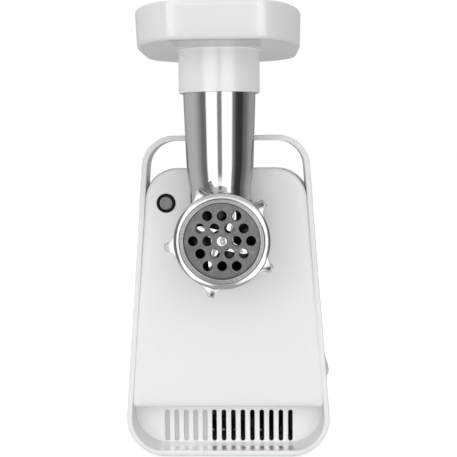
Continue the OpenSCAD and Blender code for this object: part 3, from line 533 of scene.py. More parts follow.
def metal(name, light, rough, tint=(1, 1, 1), grain=1.5, depth=0.01, along=None, painted_barrel_shade=0.0):
    """Machined or cast metal; along stretches its fine lines; painted shade darkens it in the barrel's bore
    and low inside the case.
    """
    made, paint = material(name)
    x, y, z = paint.point()
    at = paint.place()
    broad = paint.noise(at, 0.06, 3.0)
    if along:
        at = paint.node("ShaderNodeVectorMath", {"operation": "MULTIPLY"}, {0: at, 1: along})
    fine = paint.noise(at, grain, 4.0, 0.6)
    radius, along_head = around_head(paint)
    # painted shade inside the barrel's bore
    barrel = paint.under(radius, BORE_R - 0.3, BORE_R + 0.2)
    barrel = barrel * paint.under(along_head, BORE_END - 0.3, BORE_END + 0.2)
    # painted shade low inside the case, behind the vents
    low_inside = paint.within(z, 6.5, 34.0, 1.0)
    low_inside = low_inside * paint.within(y, grille_high.y + 0.4, rear_high.y - 6.0, 0.5)
    shade = 1.0 + (broad - 0.5) * 0.06 + (fine - 0.5) * 0.05
    shade = shade * (1.0 - barrel * painted_barrel_shade) * (1.0 - low_inside * 0.9)
    paint.surface(
        Base_Color=paint.scaled(tuple(light * part for part in tint), shade),
        Metallic=1.0,
        Roughness=paint.clamp(rough + (fine - 0.5) * 0.06 + (broad - 0.5) * 0.06, 0.03),
        Normal=paint.bump(fine, 0.3, depth))
    return made


def polished(name, light, rough):
    """Steel polished to a mirror: dull on the ring's flat face, with painted shade inside the barrel and on
    the outer ends of the ring's lugs, dimming their reflections.
    """
    made, paint = material(name)
    x, y, z = paint.point()
    streaks = paint.noise(paint.vector(x, y, z * 0.05), 2.0, 4.0, 0.6)
    broad = paint.noise(paint.place(), 0.06, 3.0)
    worn = paint.noise(paint.place(), 0.7, 4.0, 0.7)
    radius, along = around_head(paint)
    face = paint.within(radius, 29.7, 32.3, 0.25) * paint.under(along, ring_low.y + 1.5, ring_low.y + 1.9)
    # painted shade inside the barrel's bore
    bore = paint.under(radius, BORE_R + 0.2, BORE_R + 0.8)
    bore = bore * paint.under(along, BORE_END - 0.3, BORE_END + 0.2)
    # painted shade on the outer ends of the lugs, which dims their reflections
    tips = paint.within(radius, 40.0, 45.5, 1.5) * paint.under(along, ring_low.y + 12, ring_low.y + 13)
    shade = light * (1.0 + (broad - 0.5) * 0.06 + (streaks - 0.5) * 0.05)
    shade = shade * (1.0 - face * (0.5 + (worn - 0.5) * 0.7)) * (1.0 - bore * 0.85) * (1.0 - tips * 0.4)
    uneven = (streaks - 0.5) * 0.05 + (broad - 0.5) * 0.05 + face * (0.12 + worn * 0.2) + bore * 0.3
    paint.surface(
        Base_Color=paint.gray(shade),
        Metallic=1.0,
        Specular_Tint=(0.6, 0.6, 0.6, 1.0),
        Roughness=paint.clamp(rough + uneven, 0.03),
        Normal=paint.bump(streaks + face * worn, 0.3, 0.01))
    return made


def turned(name, light, rough, spacing, depth):
    """Steel faced on a lathe: fine circles about the head's axis, and painted shade on the walls of its
    holes.
    """
    made, paint = material(name)
    radius, along = around_head(paint)
    lines = paint.noise(paint.vector(radius, 0.0, along * 0.3), 1 / spacing, 3.0, 0.7)
    broad = paint.noise(paint.place(), 0.12, 3.0)
    worn = paint.noise(paint.place(), 0.4, 4.0, 0.75)
    # painted shade on the walls of the plate's holes
    deep = paint.steps(along, plate_low.y + 0.4, plate_low.y + 1.2)
    shade = light * (1.0 + (lines - 0.5) * 0.9 + (broad - 0.5) * 0.4 + (worn - 0.5) * 0.9)
    paint.surface(
        Base_Color=paint.gray(shade * (1.0 - deep * 0.8)),
        Metallic=1.0,
        Roughness=paint.clamp(rough + (lines - 0.5) * 0.25, 0.05),
        Normal=paint.bump(lines, 0.4, depth))
    return made


PLASTICS = {
    "white_plastic": dict(light=0.77, rough=0.36, grain=3.2, zones=housing_shade),
    "tray_plastic": dict(light=0.74, rough=0.14, grain=3.2, depth=0.006, gloss=1.0, zones=neck_light),
    "white_trim": dict(light=0.865, rough=0.42, grain=3.5, tint=(1, 1, 0.995), zones=vent_shade),
    "black_plastic": dict(light=0.004, rough=0.5, grain=3.5, tint=(1, 1, 1.05), flow=0.05, gloss=0.12),
    "gray_plastic": dict(light=0.185, rough=0.45, grain=3.5, depth=0.03, flow=0.03),
    "rubber": dict(light=0.06, rough=0.78, grain=2.0, depth=0.05, flow=0.05),
    "gear_plastic": dict(light=0.62, rough=0.45, grain=2.0, tint=(1, 0.98, 0.92)),
    "carbon": dict(light=0.02, rough=0.6, grain=5.0, depth=0.05, flow=0.1),
    "board": dict(light=0.05, rough=0.5, grain=2.0, tint=(0.35, 1.0, 0.45), depth=0.03, flow=0.05, gloss=0.3),
    "film_case": dict(light=0.22, rough=0.35, grain=2.0, tint=(1.0, 0.82, 0.30), depth=0.01),
}
METALS = {
    "steel": dict(light=0.85, rough=0.14, grain=1.2, depth=0.005),
    "cast_metal": dict(light=0.16, rough=0.24, grain=0.8, depth=0.02, painted_barrel_shade=0.8),
    "laminations": dict(light=0.35, rough=0.45, grain=1.0, depth=0.04, along=(0.05, 4.0, 0.05)),
    "copper": dict(light=0.80, rough=0.30, grain=2.0, tint=(1.0, 0.45, 0.28)),
    "bronze": dict(light=0.60, rough=0.35, depth=0.02, tint=(1.0, 0.66, 0.36)),
    "brass": dict(light=0.75, rough=0.28, tint=(1.0, 0.78, 0.38)),
}
LOOKS = {name: moulded(name, **values) for name, values in PLASTICS.items()}
LOOKS.update({name: metal(name, **values) for name, values in METALS.items()})
LOOKS["polished_steel"] = polished("polished_steel", light=0.60, rough=0.09)
LOOKS["plate_steel"] = turned("plate_steel", light=0.165, rough=0.42, spacing=0.45, depth=0.02)


def paint_with(obj, slot):
    obj.data.materials.clear()
    obj.data.materials.append(LOOKS[slot])


def piece(obj, body, slot, *nodes, sharp=35):
    """Finishes a modelled piece: shading, material, the body it rides on and the nodes it stands for."""
    tidy(obj)
    smooth(obj, sharp)
    paint_with(obj, slot)
    obj.data.polygons.foreach_set("material_index", [0] * len(obj.data.polygons))
    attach(obj, body)
    if nodes:
        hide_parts(*nodes)


# ---------------------------------------------------------------- repeated things

class Repeater(Nodes):
    """Geometry nodes that repeat a part: in a straight row, or turned round a centre."""

    INPUTS = {"Part": "Geometry", "Count": "Int", "Step": "Vector", "Centre": "Vector", "Finish": "Material"}

    def __init__(self, name, turning):
        tree = bpy.data.node_groups.new(name, "GeometryNodeTree")
        for label, kind in self.INPUTS.items():
            tree.interface.new_socket(name=label, in_out="INPUT", socket_type="NodeSocket" + kind)
        tree.interface.new_socket(name="Parts", in_out="OUTPUT", socket_type="NodeSocketGeometry")
        super().__init__(tree)
        given = tree.nodes.new("NodeGroupInput").outputs
        part, count, step, centre, finish = [Socket(self, given[i]) for i in range(len(self.INPUTS))]
        still = (0.0, 0.0, 0.0)
        shift, turn = (still, step) if turning else (step, still)
        home = self.node("GeometryNodeTransform", None, {
            "Geometry": part, "Translation": self.scaled(centre, -1.0)})
        points = self.node("GeometryNodeMeshLine", {"mode": "OFFSET"}, {
            "Count": count, "Start Location": centre, "Offset": shift})
        turned_by = self.node("FunctionNodeEulerToRotation", None, {
            0: self.scaled(turn, self.node("GeometryNodeInputIndex"))})
        parts = self.node("GeometryNodeInstanceOnPoints", None, {
            "Points": points, "Instance": home, "Rotation": turned_by})
        parts = self.node("GeometryNodeRealizeInstances", None, {"Geometry": parts})
        parts = self.node("GeometryNodeSetMaterial", None, {"Geometry": parts, "Material": finish})
        self.node("NodeGroupOutput", None, {"Parts": parts})

    def apply(self, obj, count, step, slot, centre=(0.0, 0.0, 0.0)):
        """Turns the object into the repeated parts, as a plain mesh."""
        work = obj.modifiers.new("repeat", "NODES")
        work.node_group = self.tree
        values = {"Count": count, "Step": step, "Centre": tuple(Vector(centre) * MM), "Finish": LOOKS[slot]}
        for item in self.tree.interface.items_tree:
            if item.in_out == "INPUT" and item.name in values:
                work[item.identifier] = values[item.name]
        obj.update_tag()
        settle(obj)
        return obj


IN_A_ROW = Repeater("parts_in_a_row", False)
ROUND_A_CENTRE = Repeater("parts_round_a_centre", True)


def row(obj, count, step, slot):
    """The part again and again, each a step in millimetres further."""
    return IN_A_ROW.apply(obj, count, tuple(Vector(step) * MM), slot)


def round_head(obj, count, slot):
    """The part evenly round the head's axis."""
    return ROUND_A_CENTRE.apply(obj, count, (0.0, 2 * math.pi / count, 0.0), slot, (HEAD_X, 0.0, HEAD_Z))


# ---------------------------------------------------------------- camera and studio

def make_camera():
    """Camera in front of the grinder, a little to its right and just under the handle's height."""
    place, lens = (0.022, -0.736, 0.2677), 66.96
    yaw, pitch, roll = (math.radians(a) for a in (1.63, -5.60, 0.52))
    data = bpy.data.cameras.new("camera")
    data.sensor_width = 36.0
    data.lens = lens
    camera = add_object("camera", data)
    turned_to = Matrix.Rotation(yaw, 4, "Z") @ Matrix.Rotation(math.pi / 2 + pitch, 4, "X")
    turned_to = turned_to @ Matrix.Rotation(-roll, 4, "Z")
    camera.matrix_world = Matrix.Translation(place) @ turned_to
    bpy.context.scene.camera = camera


# brightness of the studio's walls that polished steel mirrors, by the angle round from the camera's side
STUDIO_WALLS = [
    (-180, 0.54), (-158, 0.55), (-146, 0.73), (-90, 0.68), (-81, 0.60), (-71, 0.46), (-62, 0.30),
    (-58, 0.21), (-43.2, 0.23), (-40.4, 1.70), (41.5, 1.70), (44.5, 0.36), (50, 0.26), (54, 0.17),
    (57, 0.08), (62, 0.055), (80, 0.05), (84, 0.15), (100, 0.24), (108, 0.37), (120, 0.50),
    (146, 0.62), (158, 0.55), (180, 0.54),
]


def studio_walls(paint, x, y, z):
    """What polished pieces mirror: walls with bright upright panels, a ceiling and a ground."""
    around = paint.math("ARCTAN2", x, 0.0 - y) * (180 / math.pi)
    wall = paint.node("ShaderNodeValue")
    wall.socket.default_value = STUDIO_WALLS[0][1]
    for (start, before), (end, light) in zip(STUDIO_WALLS, STUDIO_WALLS[1:]):
        wall = wall + paint.steps(around, start, end, 0.0, light - before, "LINEAR")
    # a narrow dark gap between the two bright panels, at eye level only
    wall = wall - paint.within(around, -5.6, 9.0, 1.6) * paint.within(z, -0.34, 0.34, 0.06) * 1.36
    # two low panels at the sides, which catch the corners of the hopper tray
    low = paint.within(around, -45.0, -12.0, 4.0) + paint.within(around, 12.0, 56.0, 4.0)
    low = low * paint.within(z, -0.70, -0.38, 0.05)
    ceiling = paint.steps(z, 0.36, 0.58)
    ground = paint.steps(z, -0.36, -0.58)
    return wall * (1.0 - ceiling) * (1.0 - ground) + ceiling * 0.80 + ground * 0.55 + low * 1.3


def make_world():
    """Even soft light, a little stronger from ahead and above; reflections see the studio's walls."""
    world = bpy.data.worlds.new("studio")
    bpy.context.scene.world = world
    bpy.context.scene.view_settings.view_transform = "Standard"
    paint = Paint(world)
    x, y, z = paint.parts(paint.node("ShaderNodeTexCoord", out=0))
    # matt pieces are lit most from ahead, some more from above, and least from the right
    ahead = paint.math("MAXIMUM", y * -0.996 - x * 0.087, 0.0)
    right = paint.math("MAXIMUM", x, 0.0)
    behind = paint.math("MAXIMUM", y, 0.0)
    plain = 0.65 + 1.90 * (ahead * ahead * ahead) + 0.14 * z
    plain = plain - 0.32 * (right * right * right * right) + 0.2 * (behind * behind)
    rays = paint.node("ShaderNodeLightPath").socket.node.outputs
    glossy, camera = (Socket(paint, rays[kind]) for kind in ("Is Glossy Ray", "Is Camera Ray"))
    light = plain + glossy * (studio_walls(paint, x, y, z) - plain)
    light = light + camera * (1.0 - light)
    back = paint.node("ShaderNodeBackground", None, {"Color": paint.gray(light), "Strength": 1.0})
    paint.node("ShaderNodeOutputWorld", None, {"Surface": back})


def make_floor():
    """A pale floor that keeps the grinder's shadow, lit a little in front of it."""
    reach, lit_y = 3000, -650.0
    made, paint = material("floor")
    seen = Socket(paint, paint.node("ShaderNodeLightPath").socket.node.outputs["Is Camera Ray"])
    x, y, z = paint.point()
    lit = paint.steps(paint.distance(x, y - lit_y), 250.0, 800.0, 0.32, 0.0)
    paint.surface(
        Base_Color=(0.58, 0.58, 0.58, 1.0),
        Roughness=0.9,
        Emission_Color=paint.gray(seen * 0.62 + lit),
        Emission_Strength=1.0)
    corners = [(-reach, -reach), (reach, -reach), (reach, reach), (-reach, reach)]
    floor = loft("floor", [in_xy(corners, 0.0)], caps=(True, False))
    floor.data.materials.append(made)
    floor.visible_glossy = False


# ---------------------------------------------------------------- housing

def at_switch(x, y, z):
    """From the switch's frame, whose X points out of the slanted side, to the row frame."""
    return (
        half_width(SWITCH_Z) + (x - z * SIDE_SLOPE) / SIDE_STRETCH,
        (band_low.y + band_high.y) / 2 + y,
        SWITCH_Z + (z + x * SIDE_SLOPE) / SIDE_STRETCH)


def switch_cutter(low, high):
    return moved(block("cutter", low, high), at_switch)


def make_band():
    """The strap: one loop round the housing whose top is the handle, with its edges eased."""
    near, back = band_low.y, band_high.y
    section = rounded_outline(
        [(0, near), (STRAP_T, near), (STRAP_T, back), (0, back)], [1.5, 0.06, 1.2, 1.2], 5)
    loops = [
        in_xz(body_outline(u, band_low.z + u, band_high.z - u, LOW_R - u, HANDLE_R - u, 28), y)
        for u, y in section]
    band = loft("strap", loops, closed=True)
    cut(band, switch_cutter((-9, -5.6, -9.6), (11, 5.6, 9.6)))
    piece(band, "housing", "white_plastic", "side_band")


def cover_loop(inset, y, low_r=3.0):
    edge = STRAP_T - 0.02 + inset
    low, top = cover_low.z + inset, cover_high.z - inset
    return in_xz(filled(body_outline(edge, low, top, low_r, SHOULDER_R - inset, 24)), y)


def cover_edge(r, share):
    """Loop of the panel's eased edge: nearly flat beside the strap, round at the shoulders and the lip."""
    turn = math.radians(90 * share)
    full = 2.6 * (1 - math.cos(turn))
    loop = []
    for x, y, z in cover_loop(r * (1 - math.sin(turn)), cover_low.y):
        flat = (1.0 + eased_step(z, 110, 190)) * math.sin(turn) ** 2
        free = max(eased_step(z, 210, 230), 1 - eased_step(z, 46, 56))
        loop.append((x, y + flat + (full - flat) * free, z))
    return loop


def make_cover():
    """The tapered front panel: a shell with rounded front edges."""
    front, back = cover_low.y, cover_high.y
    edge_r, edge_steps = 8.0, 12
    loops = [cover_edge(edge_r, k / edge_steps) for k in range(edge_steps + 1)]
    loops += [cover_loop(0, front + edge_r + 6), cover_loop(0, back)]
    loops += [cover_loop(WALL, back, 1.0), cover_loop(WALL, front + WALL, 1.0)]
    cover = loft("front_panel", loops)
    collar_r, ease = 35.6, 0.95
    profile = [(0, front - 5), (collar_r, front - 5), (collar_r, front)]
    profile += [(collar_r - ease * s, front + ease * (1 - c)) for s, c in bend(22, 45, 68, 90)]
    profile += [(collar_r - ease, front + 9), (0, front + 9)]
    collar = lathe_y("cutter", profile, closed=False)
    hole_r = 7.15
    profile = [(0, front - 5), (hole_r, front - 5), (hole_r, front), (hole_r - 0.4, front + 0.4),
               (hole_r - 0.4, front + 9), (0, front + 9)]
    button = lathe_y("cutter", profile, BUTTON_X, BUTTON_Z, 64, closed=False)
    cut(cover, collar, button, switch_cutter((-12, -6.2, -10.4), (8, 6.2, 10.4)))
    root = front + WALL - 0.4
    bosses = [tube_y("boss", 5, 2.1, root, back, x, z) for x, z in mirrored(CASE_BOSSES)]
    bosses += [tube_y("boss", 5, 2.1, root, GEARBOX_FRONT, x, z) for x, z in mirrored(GEAR_SCREWS, HEAD_X)]
    piece(join("front_panel", [cover] + bosses), "housing", "white_plastic", "front_cover")


def make_grille():
    """The recessed plate: slots at the right go through at a slant, those at the left are only grooves."""
    front, back = grille_low.y, grille_high.y
    edge, lap = STRAP_T - 0.02, 0.17
    outline = body_outline(edge, grille_low.z - lap, grille_high.z + lap, LOW_R - STRAP_T, 0.3, 24)
    plate = loft("vent_plate", [in_xz(outline, front), in_xz(outline, back)])
    pitch, width, height = 8.38, 3.9, 28.0
    middle = band_low.z + STRAP_T + 0.8 + height / 2
    slant = math.tan(math.radians(24))
    # where each group starts, in pitches, its number of slots, where they end, and how far they lean
    for first, count, end, lean in ((-6.5, 5, front + 1.3, 0.0), (-1.5, 9, back + 2, slant)):
        widened = [(front - 2, 1.0), (front, 1.0), (front + 0.12, 0.5), (front + 0.45, 0.1),
                   (front + 0.9, 0.0), (end, 0.0)]
        loops = []
        for y, more in widened:
            x = first * pitch - lean * max(0, y - front)
            loops.append(in_xz(capsule(x, middle, width + more, height + more, 10), y))
        cut(plate, row(loft("cutter", loops), count, (pitch, 0, 0), "white_trim"))
    piece(plate, "housing", "white_trim", "vent_grille", sharp=50)


def rear_loop(from_rear, shrink, inner=0.0):
    """Loop of the rear shell at a distance from its back; shrink gives the inside of its wall."""
    r = REAR_EDGE_R - shrink
    depth = rear_high.y - shrink - from_rear
    eased_in = r - math.sqrt(r * r - (r - from_rear) ** 2) if from_rear < r else 0.0
    narrowed = REAR_DRAFT * min(1, (depth - band_high.y) / (rear_high.y - REAR_EDGE_R - band_high.y))
    inset = shrink + eased_in + inner
    low, top = rear_low.z + inset, cover_high.z - narrowed - inset
    low_r, top_r = max(4, LOW_R - 3 - inset), max(4, SHOULDER_R - inset)
    return in_xz(filled(body_outline(1.2 + narrowed + inset, low, top, low_r, top_r, 18), 40.0), depth)


def rear_wall(shrink):
    """Loops of the rear shell from the middle of its back to its open front."""
    r = REAR_EDGE_R - shrink
    end = rear_high.y - shrink - rear_low.y
    loops = [rear_loop(0.0, shrink, 1.2)]
    loops += [rear_loop(r * (1 - c), shrink) for s, c in bend(*range(0, 91, 9))]
    return loops + [rear_loop(r + (end - r) * k / 6, shrink) for k in range(1, 7)]


def make_rear():
    """The rear shell, with its exhaust slots, screw wells and the hole for the cord's gland."""
    back, well_end = rear_high.y, 16
    rear = loft("rear_shell", rear_wall(0.0) + rear_wall(WALL + 0.3)[::-1])
    first_z, width, length = 92, 4, 64
    widened = [(back + 3, 1.2), (back, 1.2), (back - 0.2, 0.6), (back - 0.8, 0.0), (back - 8, 0.0)]
    vent = loft("cutter", [
        [(v, y, first_z + u) for u, v in capsule(0, 0, width + more, length + more)] for y, more in widened])
    cutters = [row(vent, 8, (0, 0, 9), "white_plastic")]
    profile = [(0, well_end), (3.7, well_end), (3.7, back - 0.6), (4.3, back), (4.3, back + 4), (0, back + 4)]
    cutters += [lathe_y("cutter", profile, x, z, 40, closed=False) for x, z in mirrored(CASE_BOSSES)]
    cutters.append(pin_cutter(8, back - 10, back + 5, -40, 44, 48))
    half, near, far = 39, 17, 118
    opening = rounded_outline([(-half, near), (half, near), (half, far), (-half, far)], [6] * 4, 8)
    cutters.append(loft("cutter", [in_xy(opening, z) for z in (-10, rear_low.z + WALL + 1)]))
    cut(rear, join("cutter", cutters))
    profile = [(3.7, well_end), (3.7, back - 3), (5.5, back - 3), (5.5, rear_low.y), (2, rear_low.y),
               (2, well_end)]
    bosses = [lathe_y("boss", profile, x, z, 40) for x, z in mirrored(CASE_BOSSES)]
    piece(join("rear_shell", [rear] + bosses), "housing", "white_plastic", "rear_housing")


# ---------------------------------------------------------------- hopper

def tray_outline(inset, z):
    """Outline of the tray at a height: elliptical corners, and a front wall that leans out."""
    steps, straight = 18, 10
    half = (tray_high.x - tray_low.x) / 2 - inset
    lean = 9.5 * (tray_high.z - z) / (tray_high.z - tray_low.z)
    front = tray_low.y - TUBE_Y + lean + inset
    back = tray_high.y - TUBE_Y - inset
    corners = []
    # each corner's place, its reach across and along, and the angle that it starts at
    for x, y, a, b, start in ((half, back, 56, 47, 0), (-half, back, 56, 47, 90),
                              (-half, front, 35.4, 78, 180), (half, front, 35.4, 78, 270)):
        a, b = a - inset, b - inset
        centre = (x - math.copysign(a, x), y - math.copysign(b, y))
        turns = bend(*(start + 90 * k / steps for k in range(steps + 1)))
        corners.append([(centre[0] + a * c, centre[1] + b * s) for s, c in turns])
    points = []
    for corner, following in zip(corners, corners[1:] + corners[:1]):
        (x1, y1), (x2, y2) = corner[-1], following[0]
        side = [(x1 + (x2 - x1) * k / straight, y1 + (y2 - y1) * k / straight) for k in range(1, straight)]
        points += corner + side
    return points


def tray_loop(inset, z):
    return [(TUBE_X + x, TUBE_Y + y, z) for x, y in tray_outline(inset, z)]


def tray_circle(r, z):
    """A circle about the feed tube's axis, its points in line with those of the tray's outline."""
    turned_to = [math.atan2(y, x) for x, y in tray_outline(4.0, tray_low.z)]
    return [(TUBE_X + r * math.cos(a), TUBE_Y + r * math.sin(a), z) for a in turned_to]


def between(a, b, *shares):
    """Loops part of the way from one loop to another."""
    return [[tuple(p + (q - p) * share for p, q in zip(u, v)) for u, v in zip(a, b)] for share in shares]


def make_tray():
    """The hopper tray and its neck, moulded in one: up the outside, over the rim, and down inside."""
    foot, low, top = neck_low.z, tray_low.z, tray_high.z
    wall, rim, edge_r, mouth_r, root_r = 2.6, 1.3, 3, 8, 0.8
    bore, neck_r, throat = 29.6, 31.8, 25.7
    floor = low + wall
    neck = [(bore, foot + 0.6), (bore + 0.5, foot + 0.1), (bore + 0.9, foot), (neck_r - 0.9, foot),
            (neck_r - 0.25, foot + 0.25), (neck_r, foot + 0.9), (neck_r, foot + 12), (neck_r, low - 4)]
    neck += [(neck_r + root_r * (1 - c), low - root_r + root_r * s) for s, c in bend(0, 30, 60, 90)]
    walls = [(edge_r * (1 - s), low + edge_r * (1 - c)) for s, c in bend(0, 18, 36, 54, 72, 90)]
    walls += [(0, low + (top - low) * share) for share in (0.3, 0.6, 0.85)]
    walls += [(rim * (1 - c), top - rim + rim * s) for s, c in bend(0, 30, 60, 90, 120, 150, 180)]
    walls += [(wall, low + (top - low) * share) for share in (0.7, 0.45)]
    walls += [(wall + 4 * (1 - c), floor + 4 * (1 - s)) for s, c in bend(0, 22, 45, 68, 90)]
    down = [(throat + mouth_r - mouth_r * s, floor - 5 * (1 - c)) for s, c in bend(30, 55, 75, 90)]
    down += [(throat, TUBE_TOP + 0.7), (throat + 0.4, TUBE_TOP + 0.3), (bore, TUBE_TOP + 0.3)]
    loops = [tray_circle(r, z) for r, z in neck]
    underside = tray_circle(neck_r + 1.2, low), tray_loop(edge_r + 0.4, low)
    loops += between(*underside, 0.0, 0.2, 0.45, 0.7, 0.9, 1.0)
    loops += [tray_loop(inset, z) for inset, z in walls]
    upper_side = tray_loop(wall + 4.4, floor), tray_circle(throat + mouth_r, floor)
    loops += between(*upper_side, 0.0, 0.1, 0.35, 0.65, 0.9, 1.0)
    loops += [tray_circle(r, z) for r, z in down]
    piece(loft("tray", loops, closed=True), "hopper", "tray_plastic", "hopper_tray", "tray_neck")


# ---------------------------------------------------------------- grinding head

def thread(r, rise, start, end, rows):
    """Ridges along a profile: how far each point of one ridge stands out, at steps along the axis."""
    points = []
    y = start
    while y < end:
        points += [(r + rise * out, y + step) for out, step in rows]
        y += 3.0
    return points


def make_barrel():
    """The barrel: threaded for the ring in front, three bayonet lugs behind, and a throat hole on top."""
    front, back = barrel_low.y, barrel_high.y
    shoulder, step = ring_high.y, -34.5
    recess, recess_r = plate_high.y + 0.35, 31.3
    spigot_r, hollow_r, bush_r = 26.2, 20, 11.02
    profile = [(recess_r, front + 0.4), (31.7, front), (THREAD_R - 0.6, front), (THREAD_R, front + 0.6)]
    profile += thread(THREAD_R, -0.7, front + 1.2, shoulder - 2.6, [(0, 0), (1, 1.0), (1, 1.4), (0, 2.4)])
    profile += [
        (THREAD_R, shoulder + 0.2), (BARREL_R + 0.3, shoulder + 1.3), (BARREL_R, shoulder + 1.8),
        (BARREL_R, step - 0.8), (BARREL_R - 0.8, step), (spigot_r, step), (spigot_r, back + 0.4),
        (spigot_r - 0.4, back), (hollow_r + 0.4, back), (hollow_r, back - 0.4), (hollow_r, step - 0.2),
        (bush_r, step - 0.2), (bush_r, BORE_END), (BORE_R, BORE_END), (BORE_R, recess), (recess_r, recess)]
    barrel = lathe_y("barrel", profile, steps=144)
    hole = circle(TUBE_X, TUBE_Y, 21.5, 96)
    throat = loft("cutter", [in_xy(hole, HEAD_Z + 5), in_xy(hole, HEAD_Z + 40)])
    key = pin_cutter(1.02, recess - 1, recess + 4, HEAD_X, HEAD_Z - 30.2, 24)
    cut(barrel, throat, key)
    latch = math.degrees(math.atan2(BUTTON_Z - HEAD_Z, BUTTON_X - HEAD_X))
    centre, half_lug, lug_r, lug_root, lug_front, lug_back = (HEAD_X, HEAD_Z), 18, 29.8, 25.9, -31.1, -28.3
    outline = arc(centre, lug_r, latch - half_lug, 2 * half_lug, 12)
    outline += arc(centre, lug_root, latch + half_lug, -2 * half_lug, 12)
    lugs = round_head(prism_y("lug", outline, lug_front, lug_back), 3, "polished_steel")
    piece(join("barrel", [barrel, lugs]), "head", "polished_steel", "grinder_head")


def make_tube():
    """The feed tube, blended into the barrel by a fillet all round its foot."""
    steps, foot_r, fillet = 160, 24.0, 3.0
    beside = TUBE_X - HEAD_X

    def blend(a, share):
        """Point of the fillet at an angle round the tube, on its way from the barrel up to the tube."""
        x, y = (foot_r + fillet) * math.cos(a), (foot_r + fillet) * math.sin(a)
        z = math.sqrt((BARREL_R + fillet) ** 2 - (x + beside) ** 2)
        centre = Vector((x, y, z))
        on_barrel = Vector((x + beside, 0, z)) * (BARREL_R / (BARREL_R + fillet)) + Vector((-beside, y, 0))
        on_tube = Vector((foot_r * math.cos(a), foot_r * math.sin(a), z))
        one, two = on_barrel - centre, on_tube - centre
        turn = one.angle(two)
        arm = (one * math.sin((1 - share) * turn) + two * math.sin(share * turn)) / math.sin(turn)
        return tuple(Vector((TUBE_X, TUBE_Y, HEAD_Z)) + centre + arm)

    foot = [[blend(2 * math.pi * k / steps, share / 8) for k in range(steps)] for share in range(9)]
    sunk = [(HEAD_X + (x - HEAD_X) * 0.985, y, HEAD_Z + (z - HEAD_Z) * 0.985) for x, y, z in foot[0]]
    start = 38
    loops = [sunk] + foot
    loops += [[(x, y, z + (HEAD_Z + start - z) * share) for x, y, z in foot[-1]] for share in (0.33, 0.66)]
    # radius at each height above the head's axis: flaring up to the rim, and then down inside
    top = TUBE_TOP - HEAD_Z
    profile = [
        (24.05, start), (24.25, 40), (24.6, 42), (25.1, 45), (25.6, 48), (26.0, 51), (26.35, 54), (26.6, 57),
        (26.85, 64), (27.15, 74), (27.5, 84), (27.9, 95), (28.3, 107), (28.6, 118), (28.9, 127),
        (29.15, top - 1.2), (29.1, top - 0.5), (28.7, top), (27.1, top), (26.7, top - 0.4),
        (26.2, 120), (25.2, 90), (24.1, 57), (22.6, 42), (21.5, 34), (21.45, 26)]
    loops += [in_xy(circle(TUBE_X, TUBE_Y, r, steps), HEAD_Z + z) for r, z in profile]
    piece(loft("feed_tube_body", loops, closed=True), "head", "polished_steel", "feed_tube")


def lug_outline(turn):
    """One of the ring's lugs: broad and hollow at its root, blunt at its tip."""
    tip, root = 43.8, 35.5
    reach = [34.0, root, 36.0, 36.6, 37.2, 37.8, 38.5, 39.2, 40.0, 40.8, 41.6, 42.4, 43.0, tip]
    half = [2.8 + 6.4 * max(0.0, (tip - r) / (tip - root)) ** 2.6 for r in reach]
    half[0] = half[1]
    half[-1] -= 0.4
    flat = [(r, -w) for r, w in zip(reach, half)] + [(r, w) for r, w in zip(reach[::-1], half[::-1])]
    return [about_head(r, w, math.radians(turn)) for r, w in flat]


def make_ring():
    """The ring nut: a bright bevel round its face, a hollow face, and five lugs to turn it by."""
    front, back = ring_low.y, ring_high.y
    r, mouth, lip = 37.0, 28.9, front + 4.5
    inner_r = THREAD_R + 0.4
    outside = [
        (inner_r, back - 0.5), (inner_r + 0.5, back), (r - 1.0, back), (r - 0.3, back - 0.3), (r, back - 1.0),
        (r, front + 2.4), (r - 0.12, front + 1.7), (r - 0.45, front + 1.2), (r - 0.9, front + 0.9)]
    bevelled = [
        (r - 3.5, front + 0.08), (r - 3.9, front), (r - 4.2, front + 0.12), (r - 4.5, front + 0.5),
        (r - 4.8, front + 0.85), (r - 5.2, front + 1.0)]
    hollow = [
        (mouth + 1.1, front + 1.08), (mouth + 0.7, front + 1.2), (mouth + 0.35, front + 1.6),
        (mouth + 0.2, front + 2.7), (mouth, front + 3.1), (mouth, lip - 0.3), (mouth + 0.3, lip),
        (inner_r, lip)]
    inside = thread(inner_r, 0.6, lip + 0.8, back - 2.8, [(0, 0), (1, 0.8), (1, 1.4), (0, 2.2)])
    ring = lathe_y("ring", outside + bevelled + hollow + inside, steps=180)
    lug = prism_y("lug", lug_outline(42), front + 1.5, front + 10.5)
    bevel(lug, 0.6, 3, 40)
    lugs = round_head(lug, 5, "polished_steel")
    piece(join("ring", [ring, lugs]), "ring", "polished_steel", "ring_nut", sharp=28)


def make_plate():
    """The grinding plate: nineteen chamfered holes, ground flat."""
    front, back = plate_low.y, plate_high.y
    r, hole, pitch = 31.0, 3.75, 11.1
    profile = [(0, front), (r - 0.5, front), (r, front + 0.5), (r, back - 0.3), (r - 0.3, back), (0, back)]
    plate = lathe_y("plate", profile, steps=144, closed=False)
    profile = [(0, front - 1), (hole + 0.35, front - 1), (hole + 0.35, front), (hole + 0.1, front + 0.12),
               (hole, front + 0.35), (hole, back + 1), (0, back + 1)]
    cutters = []
    for level, count in ((-2, 3), (-1, 4), (0, 5), (1, 4), (2, 3)):
        x = HEAD_X - (count - 1) / 2 * pitch
        z = HEAD_Z + level * pitch * math.sin(math.radians(60))
        drill = lathe_y("cutter", profile, x, z, 48, closed=False)
        cutters.append(row(drill, count, (pitch, 0, 0), "plate_steel"))
    half_key, foot = 1.4, HEAD_Z - r
    keyway = block(
        "cutter", (HEAD_X - half_key, front - 1, foot - 1), (HEAD_X + half_key, back + 1, foot + 2.1))
    tidy(keyway)
    cut(plate, join("cutter", cutters + [keyway]))
    piece(plate, "plate", "plate_steel", "grinding_plate", sharp=40)


